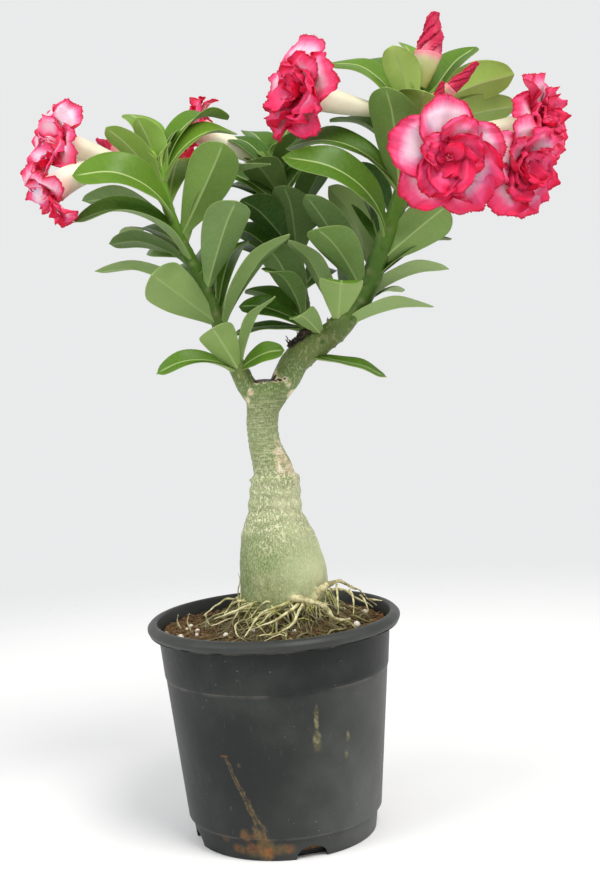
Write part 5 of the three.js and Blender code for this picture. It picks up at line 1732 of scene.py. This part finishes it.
def petal_end(s, t, rng):
    """How far out each point lies, as a share of the length: a round end with teeth and scallops."""
    end = s * (1 - PETAL_ROUND * (1 - np.sqrt(1 - 0.92 * t**2)))
    teeth = rng.uniform(-1, 1, PETAL_COLUMNS) + 0.8 * np.cos(math.pi * np.arange(PETAL_COLUMNS))
    scallop = np.sin(7 * t + rng.uniform(0, 6)) + 0.7 * np.sin(13 * t + rng.uniform(0, 6))
    return end * (1 + s**8 * (0.013 * teeth + 0.02 * scallop))


def side_notches(s, t, width, rng):
    notches = rng.uniform(-1, 1, (NOTCHES, 2))[:PETAL_ROWS]
    notch = np.where(t < 0, notches[:, :1], notches[:, 1:])
    return 0.009 * width * notch * np.abs(t) ** 12 * smooth(s, 0.3, 0.5)


print("half width at the foot of a petal:", round(float(petal_half(0)), 2), "of its most")

# %% Petal shape
def ruffled(rise, s, t, rim, wave, phase, crumple, rng):
    ruffle = wave * s**2 * np.sin(WAVES * t + phase)
    swing = np.sin(9 * t + 4 * s + rng.uniform(0, 6)) * (0.65 + 0.35 * np.sin(5 * t + phase))
    flutter = np.sin(17 * s * np.sign(t) + 6 * t + rng.uniform(0, 6)) * np.abs(t)
    tiny = np.sin(27 * t + rng.uniform(0, 6)) * s**5
    frill = crumple * (rim * (swing + 0.7 * flutter) + 0.25 * tiny)
    crease = crumple * 0.55 * np.sin(5 * s + 3 * t + rng.uniform(0, 6)) * np.sin(4 * t - 3 * s + phase) * s
    return rise + ruffle + frill + crease


def petal_grids(angle, foot, reach, forward, width, twist, wave, phase, crumple, rng):
    """Upper and lower grid of one petal on the flower's own axis, with its marks."""
    s = (evenly(PETAL_ROWS)[:, None]) ** 0.85
    t = np.linspace(-1, 1, PETAL_COLUMNS)[None, :]
    end = petal_end(s, t, rng)
    out = foot + (reach - foot) * end
    half = width / 2 * petal_half(s)
    across = t * half + np.sign(t) * side_notches(s, t, width, rng)
    turn = angle + across / np.maximum(out, foot + 0.35 * (reach - foot))
    rim = np.maximum(s**3, np.abs(t) ** 3 * smooth(s, 0.15, 0.6))
    rise = ruffled(along(forward, end) + twist * t * s, s, t, rim, wave, phase, crumple * reach, rng)
    cup = -0.05 * reach * (1 - t**2) * s * (1 - s) * 4
    sheet = np.stack([out * np.cos(turn), out * np.sin(turn), rise + cup], -1)
    lengthways, crossways = np.gradient(sheet, axis=0), np.gradient(sheet, axis=1)
    normal = unit(np.cross(lengthways, crossways))
    thick = (0.65 - 0.35 * rim)[..., None]
    edge = np.minimum((1 - s) * (reach - foot) * 1.1, (1 - np.abs(t)) * half)
    marks = np.stack([t * half + 0 * s, s + 0 * t, edge], -1)
    return sheet + normal * thick / 2, sheet - normal * thick / 2, marks


print("points of a petal:", 2 * PETAL_ROWS * PETAL_COLUMNS)

# %% [markdown]
# ## The petals' colour
# The colour runs from nearly white inside through pink to a crimson rim, so it is mixed by each point's
# distance from the edge, with fine streaks along the petal. Petals that hang below the flower are painted
# deeper in colour, as painted shade. The flowers on the left fade to white sooner, and the outsides of the
# buds' petals hardly fade at all, so all three share one network with other numbers.

# %% Petal finish
PETAL_WHITE, PETAL_PALE, PETAL_HOT = (0.99, 0.6, 0.7), (0.97, 0.27, 0.43), (0.96, 0.075, 0.205)
PETAL_CRIMSON, PETAL_RIM = (0.92, 0.028, 0.12), (0.3, 0.003, 0.028)


def petal_depth(f, edge, ring, own_and_painted_light, streak, cloud, deep, fade):
    """How deep inside the petal a point counts as, which says how far its colour has faded."""
    inward = f.times(edge, fade)
    depth = f.plus(inward, f.times(f.minus(streak, 0.5), 5))
    depth = f.plus(depth, f.times(f.minus(cloud, 0.5), 10))
    # A petal's own value, which holds painted shade for petals that hang below, deepens its colour.
    return f.minus(f.minus(depth, f.plus(ring, f.times(own_and_painted_light, 8))), deep)


def petal_finish(name, deep, fade):
    """Deep makes the colour deeper, and fade says how soon it pales from the edge."""
    f = Finish(name, Specular_IOR_Level=0.2, Subsurface_Weight=0.55, Subsurface_Scale=0.004)
    offset, share, edge = f.mark("place")
    under, ring, own_and_painted_light = f.mark("look")
    across, ahead = f.times(offset, 0.8), f.times(share, 1.6)
    swirl = f.node("ShaderNodeCombineXYZ", inputs={0: across, 1: ahead, 2: f.times(own_and_painted_light, 40)})
    streak, cloud = f.noise(1, 4, swirl, 0.6), f.noise(75, 3)
    depth = petal_depth(f, edge, ring, own_and_painted_light, streak, cloud, deep, fade)
    light = f.mix(f.step(depth, 7.5, 15), PETAL_PALE, PETAL_WHITE)
    pink = f.mix(f.step(depth, 3.5, 9.5), PETAL_HOT, light)
    crimson = f.mix(f.step(depth, -4, 3), PETAL_CRIMSON, pink)
    throat = f.mix(f.step(share, 0.16, 0.02, 0, 0.7), crimson, (0.66, 0.025, 0.045))
    ragged = f.plus(edge, f.times(f.minus(f.noise(500, 3), 0.5), 1.2))
    rim = f.times(f.step(ragged, 2.3, 0.2), f.step(share, 0.2, 0.5))
    rimmed = f.mix(f.times(rim, 0.85), throat, PETAL_RIM)
    dusky = f.mix(f.step(depth, 0, 9), (0.44, 0.014, 0.06), (0.84, 0.3, 0.38))
    f.set("Base Color", f.mix(f.times(under, 0.5), rimmed, dusky))
    f.set("Roughness", f.step(streak, 0.3, 0.7, 0.42, 0.58))
    f.set("Normal", f.bump(streak, 0.0006, f.bump(f.noise(600, 3), 0.00012)))
    return f.done()


petal = petal_finish("frilled_petal", 0.6, 1.25)
pale_petal = petal_finish("pale_frilled_petal", -2.8, 1.7)
bud_petal = petal_finish("rolled_petal", 7.5, 1)

# %% [markdown]
# ## Putting the flowers together
# Each flower is built facing straight up and then turned to where it faces. No two petals are alike on the
# real plant, so each one gets its own seeded size, tilt and crumple, and the inner wreaths lean to one
# side. The middle of a double flower is a tuft of small crumpled petals, with a few pale threads. Copies of
# one flower would be quicker to make, but the eye finds them at once.

# %% Throat and threads
def facing_turn(facing):
    """The rotation that turns straight up to where a flower faces."""
    return np.array(Vector((0, 0, 1)).rotation_difference(Vector(facing)).to_matrix())


def throat_body():
    """The hollow mouth in the middle, a low cone that the petals hide."""
    rows = [(0, GAP), (8.6, GAP), (9.2, 4), (5, 3.2), (3, 5), (0, 4)]
    return lathe(rows, 24)


def stamen_bodies():
    share = evenly(9)
    for k in range(5):
        turn = TURN * k / 5 + 0.3
        rows = [(1.2, turn, 3), (2, turn + 0.3, 9), (1.6, turn + 0.9, 12)]
        way = [(out * math.cos(a), out * math.sin(a), height) for out, a, height in rows]
        yield tube_body(*curve_at(way, share), along([0.5, 0.45, 0.2], share), 6, (1, 0, 0))


print("threads in a throat:", len(list(stamen_bodies())))

# %% How the petals lie
# Which way the inner wreaths lean, in degrees round the flower's axis.
LOPSIDED = {
    "bloom_1": -35, "bloom_2": 20, "bloom_3": 150, "bloom_4": 240, "bloom_5": 200, "bloom_6": 90,
    "bloom_7": 0,
}
# How crumpled each ring of petals is, from the outside in, and the row of the tuft in the middle.
CRUMPLES = (0.06, 0.125, 0.145, 0.16)
TUFT, TUFT_PETALS = (2, 0.32, (4, 8, 12, 14), 0.5, 2.4, 2.4), 4
# How far a petal stays inside the solids' box.
BOX_MARGIN = 0.4


def petal_rows(radius, turn, counts, lopsided, rng):
    """What petal_grids needs for each petal, ring by ring, with the tuft last."""
    rings = [(ring, PETAL_RINGS[ring], count) for ring, count in enumerate(counts) if count]
    if len(rings) == len(PETAL_RINGS):
        rings.append((len(rings), TUFT, TUFT_PETALS))
    for ring, (foot, reach, forward, width, twist, wave), count in rings:
        for k in range(count):
            loose = 0.3 + 0.7 * (ring > 0)
            angle = math.radians(turn + 360 * (k + 0.5 * ring) / count + loose * rng.normal(0, 11))
            size = radius * (1 + loose * rng.uniform(-0.13, 0.04))
            size *= 1 + 0.24 * (ring > 0) * math.cos(angle - math.radians(lopsided))
            lean = np.array(forward) + loose * rng.normal(0, 2.2) * evenly(4)
            spread = width * size * (1 + loose * rng.uniform(-0.1, 0.12))
            yield ring, (angle, foot, reach * size, lean, spread, twist, wave, 1.7 * k + ring, CRUMPLES[ring])


def room_share(points, mouth):
    """The size, up to 1, at which a petal on this mouth stays inside the solids' box."""
    low, high = (np.array(corner) / MM for corner in cad_box)
    reach = np.maximum(points.max(axis=0), 0.1), np.maximum(-points.min(axis=0), 0.1)
    return min(1, *((high - mouth - BOX_MARGIN) / reach[0]), *((mouth - low - BOX_MARGIN) / reach[1]))


print("petals in all:", sum(sum(row[-1]) + TUFT_PETALS * (row[-1][2] > 0) for row in BLOOMS.values()))

# %% Make the flowers
def make_bloom(name, finish):
    _, mouth, facing, radius, _, turn, counts = BLOOMS[name]
    rng = np.random.default_rng(100 + int(name[-1]))
    rotation = facing_turn(facing)
    petals = Collector()
    for ring, row in petal_rows(radius, turn, counts, LOPSIDED[name], rng):
        top, under, marks = petal_grids(*row, rng)
        points, faces = sheet_body(top, under)
        low = np.repeat([0, 1], marks.size // 3)
        # Petals on the lower side of the flower are painted deeper in colour: painted shade, mixed with each
        # petal's own random depth.
        drop = -(rotation @ (math.cos(row[0]), math.sin(row[0]), 0))[2]
        own_and_painted_light = np.clip(0.5 + 0.5 * drop + rng.uniform(-0.25, 0.25), 0, 1.2)
        look = np.column_stack([low, np.full(len(low), float(ring)), np.full(len(low), own_and_painted_light)])
        points = points @ rotation.T
        points = points * room_share(points, np.array(mouth)) + mouth
        petals.add(points, faces, place=np.vstack([marks.reshape(-1, 3)] * 2), look=look)
    points, faces = throat_body()
    petals.add(points @ rotation.T + mouth, faces, place=(0, 0.1, 1), look=(0, 2, 0.5))
    for points, faces in stamen_bodies():
        petals.add(points @ rotation.T + mouth, faces, place=(0, 0.3, 7), look=(0, 0, 0.2))
    piece = petals.mesh(name + "_frills", finish)
    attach(piece, "root")
    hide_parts(name + "_petals")


for name, row in BLOOMS.items():
    make_bloom(name, pale_petal if row[0] == "left" else petal)

# %% [markdown]
# ## Flower tubes
# Behind the petals each flower narrows into a waxy cream tube, green at its foot and blushed at its mouth.
# The necks of the buds are greener. A plain cone would give the outline, but five low ribs catch the light
# as the real one's do.

# %% Tube finish
def tube_finish():
    f = Finish("pale_flower_tube", Specular_IOR_Level=0.35)
    share, fresh, _ = f.mark("look")
    cloud = f.noise(90, 3)
    cream = f.mix(cloud, (0.74, 0.69, 0.47), (0.9, 0.87, 0.72))
    green_foot = f.mix(f.step(share, 0, 0.35), (0.5, 0.52, 0.24), cream)
    greener = f.mix(f.times(fresh, f.step(share, 0.2, 1, 0.95, 0.6)), green_foot, (0.44, 0.48, 0.13))
    blushed = f.mix(f.step(share, 0.66, 1, 0, 0.8), greener, (0.88, 0.4, 0.42))
    reddened = f.times(fresh, f.step(share, 0.8, 1, 0, 0.85))
    f.set("Base Color", f.mix(reddened, blushed, (0.9, 0.22, 0.3)))
    f.set("Roughness", f.step(cloud, 0.3, 0.7, 0.42, 0.6))
    f.set("Normal", f.bump(f.noise(260, 2), 0.0002))
    return f.done()


tube = tube_finish()

# %% Make the tubes
TUBE_RINGS, TUBE_SIDES = 34, 30
# How far the five ribs stand out, as a share of the radius.
TUBE_RIB = 0.035
# The radii of a bud's neck, as shares of the bud's own.
BUD_TUBE_SHARES = np.array([0.55, 0.78, 1])


def make_tube(name, path, radii, node, finish):
    length = np.linalg.norm(np.diff(bend_at(*path, evenly(20))[0], axis=0), axis=1).sum()
    share = np.linspace(STALK_SHARE + GAP / length, 1, TUBE_RINGS)
    part = (share - share[0]) / (1 - share[0])
    shape = 1 + TUBE_RIB * np.cos(5 * ring_turns(TUBE_SIDES)) * smooth(part, 0.1, 0.6)[:, None]
    points, faces = tube_body(*bend_at(*path, share), along(radii, part), TUBE_SIDES, shape=shape)
    fresh = np.full(len(points), float(node.startswith("bud")))
    look = np.column_stack([np.append(np.repeat(part, TUBE_SIDES), [0, 1]), fresh, 0 * fresh])
    piece = make_mesh(name, points, faces, finish, {"look": look})
    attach(piece, "root")
    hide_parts(node)


for name in BLOOMS:
    make_tube(name + "_trumpet", bloom_path(name), TUBE_RADII, name + "_tube", tube)
for name, (*_, size) in BUDS.items():
    make_tube(name + "_neck", bud_path(name), BUD_TUBE_SHARES * size, name + "_tube", tube)

# %% [markdown]
# ## Buds
# A bud is five petals rolled round each other like a closed umbrella, with a spiral furrow between them,
# and paler at its foot. Five rolled sheets would be true to life, but only their outer laps show. A tube
# whose outline has five blunt teeth, turned a little at each ring, gives the same spiral.

# %% Bud shape
BUD_GIRTH = (0.97, 1, 0.88, 0.72, 0.58, 0.34)
BUD_RINGS, BUD_SIDES, BUD_PETALS = 60, 90, 5
# What the finish reads from a bud: its petals' darker outside, little changed by ring and shade.
BUD_LOOK = (1.7, 0.3, 0.3)


def bud_teeth(share):
    """How far across its own lap each point of the bud lies."""
    wobble = 0.12 * np.sin(11 * share) + 0.05 * np.sin(29 * share + 1)
    spiral = ring_turns(BUD_SIDES) - (3.6 * share**1.2 + wobble * smooth(share, 0.1, 0.4))[:, None]
    return (spiral * BUD_PETALS / TURN) % 1


def bud_body(length, radius, share, tooth):
    fold = tooth**0.7 * (1 - smooth(tooth, 0.9, 1))
    crinkle = 0.03 * np.sin(60 * share)[:, None] * smooth(tooth, 0.5, 0.9)
    bend = 0.12 * radius * np.sin(5 * share) * smooth(share, 0.1, 0.5) * (1 - smooth(share, 0.85, 1))
    centres = np.stack([bend, -0.6 * bend, GAP + length * share], -1)
    upright_rows = np.tile([0, 0, 1], (BUD_RINGS, 1))
    radii = radius * along(BUD_GIRTH, share)
    return tube_body(centres, upright_rows, radii, BUD_SIDES, (1, 0, 0), 0.74 + 0.26 * fold + crinkle)


def bud_marks(radius, share, tooth):
    """Marks as a petal has them: place across, place along, distance from the edge."""
    lap = 0.62 * (1 - tooth) * (TURN * radius * along(BUD_GIRTH, share) / BUD_PETALS)[:, None]
    pale_foot = 11 * (1 - smooth(share, 0, 0.45))[:, None]
    edge = np.append((lap + pale_foot - 1.6 * share[:, None]).ravel(), [4, 0])
    reach = np.append(np.repeat(0.55 + 0.45 * share, BUD_SIDES), [0.5, 1])
    return np.column_stack([np.append(tooth.ravel() * 6, [0, 0]), reach, edge])


print("points of a bud:", BUD_RINGS * BUD_SIDES + 2)

# %% Make the buds
def make_bud(name, finish):
    _, _, neck, tip, radius = BUDS[name]
    axis = np.array(tip, float) - np.array(neck, float)
    share = evenly(BUD_RINGS)
    tooth = bud_teeth(share)
    points, faces = bud_body(np.linalg.norm(axis) - GAP - 0.5, radius, share, tooth)
    marks = {"place": bud_marks(radius, share, tooth), "look": np.tile(BUD_LOOK, (len(points), 1))}
    piece = make_mesh(name + "_rolled", points @ facing_turn(axis).T + neck, faces, finish, marks)
    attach(piece, "root")
    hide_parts(name + "_petals")


for name in BUDS:
    make_bud(name, bud_petal)

# %% [markdown]
# ## The dried stalk
# An old flower stalk has shrivelled to a black, knotted string on the upper side of the right arm. A noise
# modifier on one tube would roughen it, but it would still read as one tube. So it is three strands of
# jumping thickness that lie together, with small curled twigs along them.

# %% Dried stalk rows
# Each place on the string: how far up the green part, angle round the limb, and radius.
DRIED_STALK = [(0, 150, 1.6), (0.02, 135, 2.6), (0.045, 118, 2), (0.07, 106, 3), (0.095, 92, 2.2)]
DRIED_STALK_LEAN = -0.5
# The strands: the row each starts from, its shift, its share of the radius, seed and sides.
DRIED_STRANDS = [
    (0, (0, 0, 0), 0.85, 1, 18), (1, (0.8, -1.2, 1), 0.55, 2, 12), (2, (-1.2, 0.6, 1.6), 0.45, 3, 12),
]
DRIED_TWIGS = 14


def dried_places():
    places = []
    for place, angle, radius in DRIED_STALK:
        share = green_share("right", place)
        centre, direction = on_limb("right", share)
        turn = math.radians(angle)
        out = np.array([math.cos(turn), DRIED_STALK_LEAN, math.sin(turn)])
        out = unit(out - direction * (out @ direction))
        places.append(centre + out * (along(SHOOTS["right"]["radii"], share) + radius + GAP))
    return np.array(places)


print("dried stalk from x =", dried_places()[0, 0].round(), "to", dried_places()[-1, 0].round())

# %% Make the dried stalk
def dried_finish():
    f = Finish("black_dried_stalk", Specular_IOR_Level=0.3)
    worn = f.step(f.noise(420, 5), 0.4, 0.75)
    f.set("Base Color", f.mix(worn, (0.008, 0.006, 0.005), (0.09, 0.055, 0.035)))
    f.set("Roughness", f.step(f.noise(300, 3), 0.3, 0.7, 0.6, 0.9))
    f.set("Normal", f.bump(f.noise(800, 4), 0.0008))
    return f.done()


def dried_strand(way, radii, seed, sides, rings=70):
    share = evenly(rings)
    centres, directions = curve_at(way, share)
    centres = centres + 1.1 * wander_of(centres, 0.28, seed)
    knots = 0.55 + 0.6 * np.abs(np.sin(23 * share + 2 * np.sin(13 * share + seed)))
    radii = along(radii, share) * knots
    radii[[0, -1]] *= 0.4
    turn = ring_turns(sides)
    shape = 1 + 0.2 * np.sin(3 * turn[None, :] + 40 * share[:, None]) * np.sin(55 * share[:, None])
    return tube_body(centres, directions, radii, sides, (0, -1, 0), shape)


def make_dried_stalk():
    way, radii = dried_places(), np.array([row[2] for row in DRIED_STALK])
    strands = Collector()
    for first, shift, thick, seed, sides in DRIED_STRANDS:
        strands.add(*dried_strand(way[first:] + shift, thick * radii[first:], seed, sides))
    rng = np.random.default_rng(8)
    for _ in range(DRIED_TWIGS):
        foot = way[rng.integers(1, len(way))] + rng.normal(0, 0.8, 3)
        out = unit(rng.normal(0, 1, 3) + (-0.6, -0.4, 0.8))
        twig = foot + np.outer([0, 0.5, 1], out) * rng.uniform(2, 5) + [(0, 0, 0), (0.4, 0, 0.3), (0, 0, 0)]
        strands.add(*dried_strand(twig, [0.7, 0.5, 0.2], 4, 6, 10))
    piece = strands.mesh("dried_stalk_string", dried_finish())
    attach(piece, "root")
    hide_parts("dried_stalk")


make_dried_stalk()
